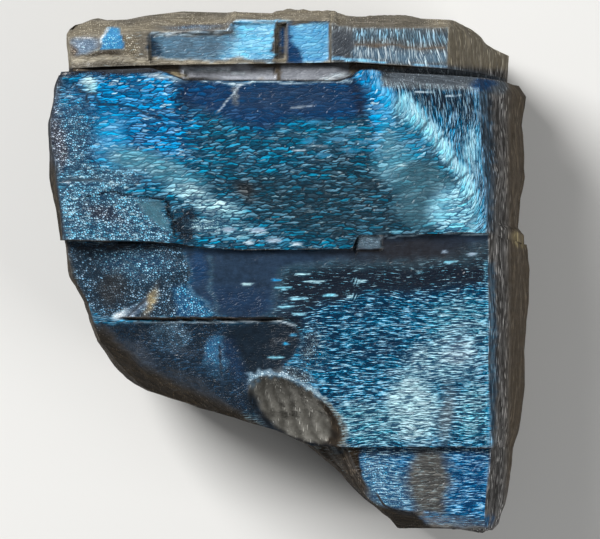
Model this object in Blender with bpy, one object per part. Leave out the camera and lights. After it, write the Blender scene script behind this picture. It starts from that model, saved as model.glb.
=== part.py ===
"""Rough moonstone: a cleavage block of blue-sheen feldspar, lying on its back cleavage with the etched face up.

X runs across the etched face, Y along it towards the thin top slab, and Z up off the surface that it lies on.
The stone is five growth layers stacked along Y. Each layer is a closed cross-section in XZ, carried along Y
between two boundary lines, and each change of layer leaves a cleavage ledge. The layers share one skin, so the
stone is one solid. Sunken panels, a crack and a shell-shaped chip are then cut from it.
"""

from math import atan2, hypot, pi, radians

import bmesh
import bpy
import numpy as np
from mathutils import Matrix

MM = 0.001

# Driving sizes, in millimetres. Heights are over the surface that the stone lies on.
FACE_HEIGHT = 24.6  # of the upper block's etched face
LOWER_SET_BACK = 0.8  # of the lower block's face behind the upper block's
FOOT_SET_BACK = 1.5
SLAB_SET_BACK = 3.4
STRIP_SET_BACK = 4.3
SLAB_BACK_LIFT = 1.6  # of the slab's back off the surface
STRIP_BACK_LIFT = 0.9
FOOT_BACK_LIFT = 2.6
END_STEP = 0.8  # of the cleavage step on each end, which stands back below END_STEP_HEIGHT
END_STEP_HEIGHT = 7.5

# Outlines seen from above, as (Y, X) pairs from the foot up.
FOOT_LEFT = [(-32.3, 13.2), (-29.9, 10.4), (-27.2, 7.5), (-24.5, 4.7), (-22.4, 2.2)]
FOOT_RIGHT = [(-32.3, 26.1), (-29.9, 27.0), (-26.8, 27.5), (-22.7, 28.0)]
LOWER_LEFT = [
    (-22.4, 2.2), (-20.7, -1.1), (-19.2, -5.5), (-18.4, -7.7), (-17.5, -11.8), (-16.9, -13.3), (-15.4, -18.6),
    (-14.6, -19.8), (-11.5, -22.9), (-9.1, -24.9), (-7.1, -25.6), (-3.9, -26.6), (-0.8, -28.1), (3.4, -28.9),
]
LOWER_RIGHT = [
    (-22.5, 28.1), (-20.0, 28.8), (-14.7, 29.6), (-10.3, 29.9), (-4.7, 30.4), (-0.1, 30.7), (2.6, 30.4),
    (3.2, 30.9),
]
UPPER_LEFT = [
    (3.8, -29.3), (6.9, -29.7), (10.8, -30.3), (14.5, -30.5), (18.3, -30.7), (22.9, -30.0), (25.4, -29.1),
]
UPPER_RIGHT = [(4.9, 29.4), (8.9, 29.8), (11.7, 30.2), (18.3, 29.4), (22.0, 29.8), (23.0, 29.2), (24.2, 28.4)]
SLAB_LEFT = [(25.2, -28.3), (29.0, -28.6)]
SLAB_RIGHT = [(24.3, 27.7), (28.0, 27.7)]

# Boundary lines between layers, as (X, Y) pairs from left to right.
FOOT_END = [(12.6, -32.1), (13.6, -32.6), (25.6, -32.7), (26.2, -32.3)]
FOOT_TOP = [(2.2, -22.1), (7.4, -22.2), (18.7, -22.2), (24.9, -22.3), (28.1, -22.6)]
LOWER_TOP = [
    (-28.8, 3.7), (-14.4, 3.3), (-11.3, 2.8), (-6.3, 2.4), (7.7, 2.6), (8.4, 4.3), (24.6, 4.6), (30.0, 3.2),
]
UPPER_TOP = [
    (-28.8, 24.7), (-17.6, 25.2), (-15.7, 24.7), (-13.2, 23.7), (6.2, 23.6), (7.7, 24.2), (8.7, 25.0),
    (10.2, 25.1), (12.7, 24.7), (19.9, 24.4), (27.2, 23.9), (28.7, 23.4),
]
STRIP_TOP = [
    (-27.9, 25.3), (-20.1, 25.6), (-15.7, 25.7), (4.9, 26.0), (8.1, 26.0), (19.7, 25.2), (27.5, 24.5),
]
SLAB_TOP = [
    (-28.6, 29.0), (-27.5, 30.5), (-25.2, 31.4), (-20.6, 31.6), (-18.3, 32.1), (-13.7, 32.7), (-2.2, 32.3),
    (-1.1, 32.6), (4.7, 32.6), (6.9, 31.9), (12.7, 31.8), (20.7, 31.4), (23.0, 30.3), (25.3, 28.5), (27.6, 27.3),
]

# The right edge of each etched face, as (Y, X) pairs.
FOOT_EDGE = [(-31.0, 24.3), (-22.4, 24.9)]
LOWER_EDGE = [(-22.3, 24.9), (4.2, 24.9)]
UPPER_EDGE = [(4.6, 24.6), (14.9, 23.9), (23.1, 23.7)]
SLAB_EDGE = [(25.2, 19.8), (30.7, 20.2)]

# Facets of the etched faces. Each falls away on the left of its line, seen on the way from start to end. The
# slope is the fall for each millimetre, and the round is how gradually the face turns into it.
FOOT_FACET = {"start": (12.4, -30.3), "end": (7.4, -22.6), "slope": 1.2, "round": 0.15}
FROSTED_FACET = {"start": (-10.4, -6.2), "end": (-13.2, 2.4), "slope": 0.19, "round": 0.4}
LOWER_LEFT_FACET = {"start": (-6.9, -16.5), "end": (-10.4, -6.2), "slope": 0.25, "round": 0.8}
CORNER_BREAK = {"start": (1.5, -20.6), "end": (-23.9, -7.6), "slope": 1.35, "round": 0.8}
TURNED_PLANE = {"start": (24.6, 4.3), "end": (10.6, 23.1), "slope": 0.2, "round": 0.8}
TURNED_PLANE_BOW = 1.6  # of the line where the upper face turns, towards the upper right
LEFT_ROLL = {"start": (-27.4, -33.0), "end": (-27.4, 33.0), "slope": 0.5, "round": 0.4}
SLAB_LEFT_ROLL = {"start": (-25.0, -33.0), "end": (-25.0, 33.0), "slope": 0.5, "round": 0.5}

# The bevel at the foot's end and the broken band along the slab's top start at these lines of (X, Y) pairs.
FOOT_BEVEL = [(12.7, -29.9), (18.7, -30.6), (25.0, -31.3)]
SLAB_BAND = [(-27.0, 29.2), (-17.7, 29.8), (-8.2, 29.9), (-7.0, 31.2), (4.6, 31.2), (6.0, 30.3), (20.0, 30.3)]
BREAK_SLOPE = 1.8
BREAK_ROUND = 0.15

# The upper block's top edge drops over a shoulder on the right and a narrow lip on the left.
SHOULDER = {"from_x": 11.5, "width": 1.6, "slope": 1.3}
LIP = {"to_x": -16.5, "width": 0.6, "slope": 0.9}
EDGE_FADE = 2.0

# The crack across the lower block. The face under it stands back, most in the middle of the crack.
CRACK_LINE = -6.2
CRACK_ENDS = (-21.8, -0.6)
CRACK_STEP = 0.8
CRACK_DEPTH = 2.6
CRACK_MOUTH = (-0.4, 0.3)  # from below the line to above it

# A small raised remnant at the top of the lower block.
REMNANT = {"left": 8.3, "right": 11.3, "bottom": 2.5, "height": 0.4, "edge": 0.3}

# The slab's face stands prouder right of SLAB_STEP_X. Its panels are (left, bottom), (right, top), depth.
SLAB_STEP_X = 5.2
SLAB_STEP = 0.7
PANELS = {
    "long_panel": ((-17.7, 26.25), (-2.0, 29.75), 0.55),
    "panel_groove": ((-1.95, 26.35), (-0.75, 30.9), 1.0),
    "short_panel": ((-0.7, 26.3), (4.8, 31.0), 0.4),
    "strip_panel": ((-13.2, 24.1), (-2.0, 25.3), 1.3),
}

# The shell-shaped chip.
CHIP_MIDDLE = (0.6, -17.9)
CHIP_TURN = atan2(-3.9, 5.6)
CHIP_TILT = 0.25
CHIP_HALF_SIZES = (6.9, 3.5, 3.0)
CHIP_LIFT = 0.7  # of its middle over the lower block's face
CHIP_RIB = 0.05  # share of the chip's depth
CHIP_RIB_SPACING = 2.3

# Terraces on the back, one cleavage thick, where it stands off the surface. It is flat between them.
LEFT_TERRACE = {"to_x": -17.5, "height": 1.1}
RIGHT_TERRACE = {"from_x": 19.5, "from_y": -3.0, "height": 0.9}
FOOT_TERRACE = {"to_y": -16.5, "height": 1.0}
SLAB_TERRACE = {"to_x": -12.0, "height": 1.0}
TERRACE_EDGE = 0.6  # how gradually a terrace starts

# The natural relief: how high each kind stands, and how far it spreads in X, Y and Z.
FACE_WAVES = {"height": 0.16, "spread": (5.0, 1.9, 30.0), "seed": 11}
SIDE_RIDGES = {"height": 0.42, "spread": (3.0, 9.0, 2.6), "seed": 23}
SIDE_LUMPS = {"height": 0.3, "spread": (6.0, 6.0, 6.0), "seed": 31}

# Columns round a cross-section, and how far apart the rings of a layer stand.
FACE_COLUMNS = 30
SIDE_COLUMNS = 6
BACK_COLUMNS = 13
RING_STEP = 1.5

# The rings that close an end stand at these shares of the way out from the end's middle line.
CAP_SHARES = (0.75, 0.45, 0.15)


def along(pairs, at):
    """The value at a place on a line of (place, value) pairs, straight between them."""
    places, values = zip(*sorted(pairs))
    return np.interp(at, places, values)


def ease(distance, width):
    """0 before a line, 1 past it, and a smooth step of this width between."""
    t = np.clip(distance / width + 0.5, 0, 1)
    return t * t * (3 - 2 * t)


def beyond(distance, width):
    """The distance past a line, 0 before it, turning smoothly over the width."""
    return np.logaddexp(0, distance / width) * width


def past_line(x, y, line):
    """The distance from a facet's line, positive on the left of the way from its start to its end."""
    (x0, y0), (x1, y1) = line["start"], line["end"]
    return ((y - y0) * (x1 - x0) - (x - x0) * (y1 - y0)) / hypot(x1 - x0, y1 - y0)


def facet_fall(x, y, facet):
    """How far the face falls below its own level on a facet."""
    return facet["slope"] * beyond(past_line(x, y, facet), facet["round"])


def lattice_value(cell, seed):
    """A fixed value from -1 to 1 for each whole-number cell."""
    mixed = cell @ np.array([374761393, 668265263, 2147483647]) + seed * 1274126177
    mixed = (mixed ^ (mixed >> 13)) & 0xFFFFFFFF
    mixed = (mixed * 1274126177) & 0xFFFFFFFF
    return ((mixed ^ (mixed >> 16)) & 0xFFFF) / 32767.5 - 1


def lumps(points, kind):
    """Smooth lumps of one kind of relief: values at the corners of boxes of its spread, blended between them."""
    scaled = points / np.array(kind["spread"])
    cell = np.floor(scaled).astype(np.int64)
    t = scaled - cell
    t = t * t * (3 - 2 * t)
    total = np.zeros(points.shape[:-1])
    for corner in np.ndindex(2, 2, 2):
        share = np.prod(np.where(corner, t, 1 - t), axis=-1)
        total += share * lattice_value(cell + np.array(corner), kind["seed"])
    return kind["height"] * total


def foot_face(x, y):
    """The foot's etched face, with the broken facet on its left and the bevel at its end."""
    z = FACE_HEIGHT - FOOT_SET_BACK - facet_fall(x, y, FOOT_FACET)
    return z - BREAK_SLOPE * beyond(along(FOOT_BEVEL, x) - y, BREAK_ROUND)


def lower_face(x, y):
    """The lower block's face: a flat cleavage that tilts left above the crack and falls away below it."""
    above_crack = ease(y - CRACK_LINE + 1.5, 3.0)
    z = FACE_HEIGHT - LOWER_SET_BACK - facet_fall(x, y, CORNER_BREAK)
    z = z - facet_fall(x, y, FROSTED_FACET) * above_crack
    z = z - facet_fall(x, y, LOWER_LEFT_FACET) * (1 - above_crack)
    fade = ease(x - CRACK_ENDS[0] - 1, 3.0) * ease(CRACK_ENDS[1] - x, 6.0) * ease(y - CRACK_LINE + 5.5, 9.0)
    z = z - CRACK_STEP * ease(CRACK_LINE - y, 0.3) * fade
    across = ease(x - REMNANT["left"], REMNANT["edge"]) * ease(REMNANT["right"] - x, REMNANT["edge"])
    return z + REMNANT["height"] * across * ease(y - REMNANT["bottom"], REMNANT["edge"])


def upper_face(x, y):
    """The upper block's face: a broad plane that turns away past a bowed line at the upper right."""
    (x0, y0), (x1, y1) = TURNED_PLANE["start"], TURNED_PLANE["end"]
    share = ((x - x0) * (x1 - x0) + (y - y0) * (y1 - y0)) / ((x1 - x0) ** 2 + (y1 - y0) ** 2)
    bow = TURNED_PLANE_BOW * np.clip(1 - (2 * share - 1) ** 2, 0, 1)
    turn = -past_line(x, y, TURNED_PLANE) - bow
    z = FACE_HEIGHT - TURNED_PLANE["slope"] * beyond(turn, TURNED_PLANE["round"])
    from_top = along(UPPER_TOP, x) - y
    shoulder = SHOULDER["slope"] * beyond(SHOULDER["width"] - from_top, 0.2)
    lip = LIP["slope"] * beyond(LIP["width"] - from_top, 0.1)
    z = z - shoulder * ease(x - SHOULDER["from_x"], EDGE_FADE) - lip * ease(LIP["to_x"] - x, EDGE_FADE)
    return z - facet_fall(x, y, LEFT_ROLL)


def strip_face(x, y):
    return np.full(np.shape(x), FACE_HEIGHT - STRIP_SET_BACK)


def slab_face(x, y):
    """The top slab's face: a low step across it, and a broken band that slopes back along its top."""
    z = FACE_HEIGHT - SLAB_SET_BACK + SLAB_STEP * ease(x - SLAB_STEP_X, 0.3)
    return z - BREAK_SLOPE * beyond(y - along(SLAB_BAND, x), BREAK_ROUND) - facet_fall(x, y, SLAB_LEFT_ROLL)


def upper_back(x, y):
    """The back cleavage: flat on the surface, with terraces at its left end and its upper right."""
    left = ease(LEFT_TERRACE["to_x"] - x, TERRACE_EDGE)
    right = ease(x - RIGHT_TERRACE["from_x"], TERRACE_EDGE) * ease(y - RIGHT_TERRACE["from_y"], TERRACE_EDGE)
    return LEFT_TERRACE["height"] * left + RIGHT_TERRACE["height"] * right


def lower_back(x, y):
    """The back cleavage of the lower block, with one more terrace towards the foot."""
    return upper_back(x, y) + FOOT_TERRACE["height"] * ease(FOOT_TERRACE["to_y"] - y, TERRACE_EDGE)


def foot_back(x, y):
    return np.full(np.shape(x), FOOT_BACK_LIFT)


def strip_back(x, y):
    return np.full(np.shape(x), STRIP_BACK_LIFT)


def slab_back(x, y):
    return SLAB_BACK_LIFT + SLAB_TERRACE["height"] * ease(SLAB_TERRACE["to_x"] - x, TERRACE_EDGE)


# Each layer from the foot up. inset is how far the back's edges stand in from the outline, left and right;
# widest is the height of the outline's two widest lines; lean is how far the face's left edge stands in.
LAYERS = [
    {
        "low": FOOT_END, "high": FOOT_TOP, "left": FOOT_LEFT, "right": FOOT_RIGHT, "edge": FOOT_EDGE,
        "face": foot_face, "back": foot_back, "inset": (2.0, 2.6), "widest": (12.5, 12.0), "lean": 0.7,
    },
    {
        "low": FOOT_TOP, "high": LOWER_TOP, "left": LOWER_LEFT, "right": LOWER_RIGHT, "edge": LOWER_EDGE,
        "face": lower_face, "back": lower_back, "inset": (3.4, 3.6), "widest": (11.5, 11.5), "lean": 0.9,
    },
    {
        "low": LOWER_TOP, "high": UPPER_TOP, "left": UPPER_LEFT, "right": UPPER_RIGHT, "edge": UPPER_EDGE,
        "face": upper_face, "back": upper_back, "inset": (2.6, 3.0), "widest": (13.5, 12.5), "lean": 1.1,
    },
    {
        "low": UPPER_TOP, "high": STRIP_TOP, "left": SLAB_LEFT, "right": SLAB_RIGHT, "edge": SLAB_EDGE,
        "face": strip_face, "back": strip_back, "inset": (2.4, 3.2), "widest": (13.0, 10.5), "lean": 0.8,
    },
    {
        "low": STRIP_TOP, "high": SLAB_TOP, "left": SLAB_LEFT, "right": SLAB_RIGHT, "edge": SLAB_EDGE,
        "face": slab_face, "back": slab_back, "inset": (2.8, 2.6), "widest": (13.0, 10.5), "lean": 0.6,
    },
]


def section_corners(layer, share):
    """The X of a cross-section's six corners, at this share of the way up from the layer's low line."""
    low, high = layer["low"], layer["high"]
    left_level = low[0][1] * (1 - share) + high[0][1] * share
    right_level = low[-1][1] * (1 - share) + high[-1][1] * share
    left, right = along(layer["left"], left_level), along(layer["right"], right_level)
    edge = along(layer["edge"], right_level)
    inset_left, inset_right = layer["inset"]
    return np.array([left + layer["lean"], edge, right, right - inset_right, left + inset_left, left])


def ring(layer, share):
    """One closed ring of points round the layer: across the face, down the right side, back along the back and
    up the left side, all on the curve at this share of the way from the layer's low line to its high one."""
    corners = section_corners(layer, share)
    counts = [FACE_COLUMNS, SIDE_COLUMNS, SIDE_COLUMNS, BACK_COLUMNS, SIDE_COLUMNS, SIDE_COLUMNS]
    run = np.repeat(np.arange(6), counts)
    way = np.concatenate([np.arange(count) / count for count in counts])
    x = corners[run] + (corners[(run + 1) % 6] - corners[run]) * way
    y = along(layer["low"], x) * (1 - share) + along(layer["high"], x) * share
    corner_y = along(layer["low"], corners) * (1 - share) + along(layer["high"], corners) * share
    face, back = layer["face"](corners, corner_y), layer["back"](corners, corner_y)
    left_widest, right_widest = layer["widest"]
    heights = np.array([face[0], face[1], right_widest, back[3], back[4], left_widest])
    z = heights[run] + (heights[(run + 1) % 6] - heights[run]) * way
    z = np.where(run == 0, layer["face"](x, y), z)
    z = np.where(run == 3, layer["back"](x, y), z)
    return np.stack([x, y, z], axis=-1)


def cap(rim, line):
    """Rings that close an end: the rim drawn in towards the end's middle line, each point on the end's line."""
    low, high = rim.min(axis=0), rim.max(axis=0)
    middle, half = (low + high) / 2, (high - low) / 2
    spare = np.maximum(half - min(half[0], half[2]), 0)
    target = np.clip(rim, middle - spare, middle + spare)
    rings = []
    for share in CAP_SHARES:
        inner = target + (rim - target) * share
        inner[:, 1] = along(line, inner[:, 0])
        rings.append(inner)
    return rings


def stone_rings():
    """All rings of the stone, from the middle of the foot's end to the middle of the slab's end."""
    rings = []
    for layer in LAYERS:
        length = np.mean([y for _, y in layer["high"]]) - np.mean([y for _, y in layer["low"]])
        count = max(2, round(length / RING_STEP) + 1)
        rings += [ring(layer, step / (count - 1)) for step in range(count)]
    rings = np.array(cap(rings[0], FOOT_END)[::-1] + rings + cap(rings[-1], SLAB_TOP))
    end_rings = len(CAP_SHARES) + 1
    step = END_STEP * ease(END_STEP_HEIGHT - rings[..., 2], 0.6)
    rings[:end_rings, :, 1] += step[:end_rings]
    rings[-end_rings:, :, 1] -= step[-end_rings:]
    return rings


def weathered(rings):
    """The rings with their natural relief: low waves on the etched face, ridges and lumps on sides and ends."""
    around = np.roll(rings, -1, axis=1) - np.roll(rings, 1, axis=1)
    normal = np.cross(around, np.gradient(rings, axis=0))
    normal /= np.maximum(np.linalg.norm(normal, axis=-1, keepdims=True), 1e-9)
    upward = ease(normal[..., 2] - 0.75, 0.3)
    downward = ease(-normal[..., 2] - 0.75, 0.3)
    rise = upward * lumps(rings, FACE_WAVES)
    rise += np.clip(1 - upward - downward, 0, 1) * (lumps(rings, SIDE_RIDGES) + lumps(rings, SIDE_LUMPS))
    moved = rings + normal * rise[..., None]
    moved[..., 2] = np.maximum(moved[..., 2], 0)
    return moved


def finished_mesh(name, work):
    """A mesh from a closed bmesh, with its faces pointing out."""
    bmesh.ops.recalc_face_normals(work, faces=work.faces)
    mesh = bpy.data.meshes.new(name)
    work.to_mesh(mesh)
    work.free()
    return mesh


def skinned(rings):
    """The rings joined by faces into one closed mesh, in metres."""
    columns = rings.shape[1]
    work = bmesh.new()
    grid = [[work.verts.new(point * MM) for point in row] for row in rings]
    for row, above in zip(grid, grid[1:]):
        for i in range(columns):
            after = (i + 1) % columns
            work.faces.new((row[i], row[after], above[after], above[i]))
    work.faces.new(grid[0][::-1])
    work.faces.new(grid[-1])
    bmesh.ops.triangulate(work, faces=work.faces)
    mesh = finished_mesh("moonstone", work)
    mesh.shade_smooth()
    mesh.set_sharp_from_angle(angle=radians(35))
    return mesh


def new_object(name, mesh):
    made = bpy.data.objects.new(name, mesh)
    bpy.context.scene.collection.objects.link(made)
    return made


def cut(stone, name, mesh):
    """A Boolean cut from the stone by a hidden cutter."""
    cutter = new_object(name, mesh)
    cutter.hide_render = True
    cutter.display_type = "WIRE"
    modifier = stone.modifiers.new(name, "BOOLEAN")
    modifier.operation = "DIFFERENCE"
    modifier.object = cutter
    return cutter


def cut_panels(stone):
    """The sunken panels in the top slab's face, the groove between two of them, and the strip's panel."""
    slab_height = FACE_HEIGHT - SLAB_SET_BACK
    for name, ((left, bottom), (right, top), depth) in PANELS.items():
        low = np.array([left, bottom, slab_height - depth])
        high = np.array([right, top, FACE_HEIGHT + 1])
        work = bmesh.new()
        bmesh.ops.create_cube(work, size=1)
        for vert in work.verts:
            vert.co = ((low + high) / 2 + np.array(vert.co) * (high - low)) * MM
        cut(stone, name, finished_mesh(name, work))


def cut_chip(stone):
    """The shell-shaped chip at the lower block's lower left, its long way down to the right, ribbed across."""
    work = bmesh.new()
    poles_on_x = Matrix.Rotation(pi / 2, 4, "Y")
    bmesh.ops.create_uvsphere(work, u_segments=14, v_segments=26, radius=1, matrix=poles_on_x)
    for vert in work.verts:
        vert.co.z *= 1 + CHIP_RIB * np.sin(2 * pi * vert.co.x * CHIP_HALF_SIZES[0] / CHIP_RIB_SPACING)
    cutter = cut(stone, "shell_chip", finished_mesh("shell_chip", work))
    middle = (*CHIP_MIDDLE, FACE_HEIGHT - LOWER_SET_BACK + CHIP_LIFT)
    cutter.location = [value * MM for value in middle]
    cutter.rotation_euler = (CHIP_TILT, 0, CHIP_TURN)
    cutter.scale = [value * MM for value in CHIP_HALF_SIZES]


def cut_crack(stone):
    """The open crack under the lower block's frosted facet: a thin wedge along the crack line."""
    face = FACE_HEIGHT - LOWER_SET_BACK
    mouth_low, mouth_high = CRACK_MOUTH
    outline = [(0, face - CRACK_DEPTH), (mouth_high, face + 2), (mouth_low, face + 2)]
    outline = [((CRACK_LINE + y) * MM, z * MM) for y, z in outline]
    work = bmesh.new()
    near, far = [[work.verts.new((x * MM, y, z)) for y, z in outline] for x in CRACK_ENDS]
    work.faces.new(near)
    work.faces.new(far[::-1])
    for i in range(3):
        after = (i + 1) % 3
        work.faces.new((near[i], far[i], far[after], near[after]))
    cut(stone, "lower_crack", finished_mesh("lower_crack", work))


def feldspar():
    """Dark slate-blue feldspar with a glassy cleavage."""
    material = bpy.data.materials.new("moonstone_feldspar")
    material.use_nodes = True
    shader = material.node_tree.nodes["Principled BSDF"]
    shader.inputs["Base Color"].default_value = (0.045, 0.125, 0.2, 1)
    shader.inputs["Roughness"].default_value = 0.35
    shader.inputs["Metallic"].default_value = 0.0
    return material


def main():
    for existing in list(bpy.data.objects):
        bpy.data.objects.remove(existing)
    stone = new_object("moonstone", skinned(weathered(stone_rings())))
    stone.data.materials.append(feldspar())
    cut_panels(stone)
    cut_chip(stone)
    cut_crack(stone)


main()
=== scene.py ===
"""Looks of the rough moonstone: a cleavage block of blue-sheen feldspar, lying with its etched face up.

X runs across the etched face, Y along it towards the thin top slab, and Z up off the surface that it lies
on. Sizes are in millimetres until a mesh is made. The stone is one piece: a fine skin that follows the same
layers, facets, panels, crack and chip as its solid, with the etch relief that the solid leaves out. The
places where it flashes blue, pales or turns smoky are worked out for each point of the skin and kept as
attributes, which the feldspar's material reads. The blue flash is painted sheen, set in the base colour and
the same from every view. Some pale edge lines and glints are painted highlights, and a few dark bands are
painted shade.
"""

from math import atan2, cos, hypot, pi, radians, sin

import bpy
import numpy as np
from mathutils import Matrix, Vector


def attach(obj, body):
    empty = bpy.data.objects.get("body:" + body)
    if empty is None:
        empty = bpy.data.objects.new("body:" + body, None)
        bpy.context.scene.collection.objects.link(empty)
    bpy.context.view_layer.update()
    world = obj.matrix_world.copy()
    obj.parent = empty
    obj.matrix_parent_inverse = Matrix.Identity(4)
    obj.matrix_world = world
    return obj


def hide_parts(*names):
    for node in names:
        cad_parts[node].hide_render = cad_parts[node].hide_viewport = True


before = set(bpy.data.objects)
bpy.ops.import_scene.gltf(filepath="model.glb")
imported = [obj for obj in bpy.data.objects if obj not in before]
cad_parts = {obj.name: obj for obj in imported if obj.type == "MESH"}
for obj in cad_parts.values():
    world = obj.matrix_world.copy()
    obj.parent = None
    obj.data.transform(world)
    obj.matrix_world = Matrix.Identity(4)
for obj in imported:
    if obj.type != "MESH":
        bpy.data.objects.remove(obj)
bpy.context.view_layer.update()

MM = 0.001

# Driving sizes of the solid. Heights are over the surface that the stone lies on.
FACE_HEIGHT = 24.6  # of the upper block's etched face
MID_HEIGHT = FACE_HEIGHT / 2  # what is cut into the face reaches nothing under this
LOWER_HEIGHT = FACE_HEIGHT - 0.8  # of the lower block's face
FOOT_SET_BACK = 1.5
SLAB_SET_BACK = 3.4
STRIP_SET_BACK = 4.3
SLAB_BACK_LIFT = 1.6  # of the slab's back off the surface
STRIP_BACK_LIFT = 0.9
FOOT_BACK_LIFT = 2.6
END_STEP = 0.8  # of the cleavage step on each end, which stands back below END_STEP_HEIGHT
END_STEP_HEIGHT, END_STEP_SOFT = 7.5, 0.6

# Outlines seen from above, as (Y, X) pairs from the foot up.
FOOT_LEFT = [(-32.3, 13.2), (-29.9, 10.4), (-27.2, 7.5), (-24.5, 4.7), (-22.4, 2.2)]
FOOT_RIGHT = [(-32.3, 26.1), (-29.9, 27.0), (-26.8, 27.5), (-22.7, 28.0)]
LOWER_LEFT = [
    (-22.4, 2.2), (-20.7, -1.1), (-19.2, -5.5), (-18.4, -7.7), (-17.5, -11.8), (-16.9, -13.3),
    (-15.4, -18.6), (-14.6, -19.8), (-11.5, -22.9), (-9.1, -24.9), (-7.1, -25.6), (-3.9, -26.6),
    (-0.8, -28.1), (3.4, -28.9),
]
LOWER_RIGHT = [
    (-22.5, 28.1), (-20.0, 28.8), (-14.7, 29.6), (-10.3, 29.9), (-4.7, 30.4), (-0.1, 30.7), (2.6, 30.5),
    (3.2, 30.4),
]
UPPER_LEFT = [
    (3.8, -29.3), (6.9, -29.7), (10.8, -30.3), (14.5, -30.5), (18.3, -30.7), (22.9, -30.0), (25.4, -29.1),
]
UPPER_RIGHT = [
    (3.2, 30.3), (4.4, 30.3), (5.1, 29.4), (8.9, 29.8), (11.7, 30.2), (18.3, 29.4), (22.0, 29.8),
    (23.0, 29.2), (24.2, 28.4),
]
SLAB_LEFT = [(25.2, -28.3), (29.0, -28.6)]
SLAB_RIGHT = [(24.3, 27.7), (28.0, 27.7)]

# Boundary lines between layers, as (X, Y) pairs from left to right.
FOOT_END = [(12.6, -32.1), (13.6, -32.6), (25.6, -32.7), (26.2, -32.3)]
FOOT_TOP = [(2.2, -22.1), (7.4, -22.2), (18.7, -22.2), (24.9, -22.3), (28.1, -22.6)]
LOWER_TOP = [
    (-28.8, 3.7), (-14.4, 3.3), (-11.3, 2.8), (-6.3, 2.4), (7.7, 2.6), (8.4, 4.3), (24.6, 4.6), (30.0, 3.2),
]
UPPER_TOP = [
    (-28.8, 24.7), (-17.6, 25.2), (-15.7, 24.7), (-13.2, 23.7), (6.2, 23.6), (7.7, 24.2), (8.7, 25.0),
    (10.2, 25.1), (12.7, 24.7), (19.9, 24.4), (27.2, 23.9), (28.7, 23.4),
]
STRIP_TOP = [
    (-27.9, 25.3), (-20.1, 25.6), (-15.7, 25.7), (4.9, 26.0), (8.1, 26.0), (19.7, 25.2), (27.5, 24.5),
]
SLAB_TOP = [
    (-28.6, 29.0), (-27.5, 30.5), (-25.2, 31.4), (-20.6, 31.6), (-18.3, 32.1), (-13.7, 32.7), (-2.2, 32.3),
    (-1.1, 32.6), (4.7, 32.6), (6.9, 31.9), (12.7, 31.8), (20.7, 31.4), (23.0, 30.3), (25.3, 28.5),
    (27.6, 27.3),
]

# The right edge of each etched face, as (Y, X) pairs.
FOOT_EDGE = [(-31.0, 24.3), (-22.4, 24.9)]
LOWER_EDGE = [(-22.3, 24.9), (4.2, 24.9)]
UPPER_EDGE = [(4.6, 24.6), (14.9, 23.9), (23.1, 23.7)]
SLAB_EDGE = [(25.2, 19.8), (30.7, 20.2)]

# Facets of the etched faces. Each falls away on the left of its line, seen on the way from start to end. The
# slope is the fall for each millimetre, and the round is how gradually the face turns into it.
FOOT_FACET = {"start": (12.4, -30.3), "end": (7.4, -22.6), "slope": 1.2, "round": 0.15}
FROSTED_FACET = {"start": (-10.4, -6.2), "end": (-13.2, 2.4), "slope": 0.19, "round": 0.4}
LOWER_LEFT_FACET = {"start": (-6.9, -16.5), "end": (-10.4, -6.2), "slope": 0.25, "round": 0.8}
CORNER_BREAK = {"start": (1.5, -20.6), "end": (-23.9, -7.6), "slope": 1.35, "round": 0.8}
TURNED_PLANE = {"start": (24.6, 4.3), "end": (10.6, 23.1), "slope": 0.2, "round": 0.8}
TURNED_PLANE_BOW = 1.6  # of the line where the upper face turns, towards the upper right
LEFT_ROLL = {"start": (-27.4, -33.0), "end": (-27.4, 33.0), "slope": 0.5, "round": 0.4}
SLAB_LEFT_ROLL = {"start": (-25.0, -33.0), "end": (-25.0, 33.0), "slope": 0.5, "round": 0.5}

# The bevel at the foot's end and the broken band along the slab's top start at these lines of (X, Y) pairs.
FOOT_BEVEL = [(12.7, -29.9), (18.7, -30.6), (25.0, -31.3)]
SLAB_BAND = [(-27.0, 29.2), (-17.7, 29.8), (-8.2, 29.9), (-7.0, 31.2), (4.6, 31.2), (6.0, 30.3), (20.0, 30.3)]
BREAK_SLOPE = 1.8
BREAK_ROUND = 0.15

# The upper block's top edge drops over a shoulder on the right and a narrow lip on the left.
SHOULDER = {"from_x": 11.5, "width": 1.6, "slope": 1.3}
LIP = {"to_x": -16.5, "width": 0.6, "slope": 0.9}
EDGE_FADE = 2.0

# The crack across the lower block. The face under it stands back, most in the middle of the crack.
CRACK_LINE = -6.2
CRACK_ENDS = (-21.8, -0.6)
CRACK_STEP = 0.8
CRACK_DEPTH = 2.6
CRACK_MOUTH = (-0.4, 0.3)  # from below the line to above it
CRACK_FADES = ((0.6, 1.6), (1.5, 4.0))  # how far in from each end it has half its depth, and how softly
CRACK_CLOSING = 0.35  # share of that mouth, and of that depth, that stands open on the skin

# A small raised remnant at the top of the lower block.
REMNANT = {"left": 8.3, "right": 11.3, "bottom": 2.5, "height": 0.4, "edge": 0.3}

# The slab's face stands prouder right of SLAB_STEP_X. Its panels are (left, bottom), (right, top), depth.
SLAB_STEP_X = 5.2
SLAB_STEP = 0.7
PANELS = {
    "long_panel": ((-17.7, 26.25), (-2.0, 29.75), 0.55),
    "panel_groove": ((-1.95, 26.35), (-0.6, 30.9), 1.0),
    "short_panel": ((-0.8, 26.3), (4.8, 31.0), 0.4),
    "panel_top": ((-7.3, 29.0), (-2.0, 31.0), 0.55),
    "strip_panel": ((-13.2, 24.1), (-2.0, 25.3), 1.3),
}
PANEL_WALL = 0.18  # how wide a panel's wall is, seen from above
PANEL_FOLLOWS = 0.06  # share of the slab's own relief that a panel's floor keeps

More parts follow.
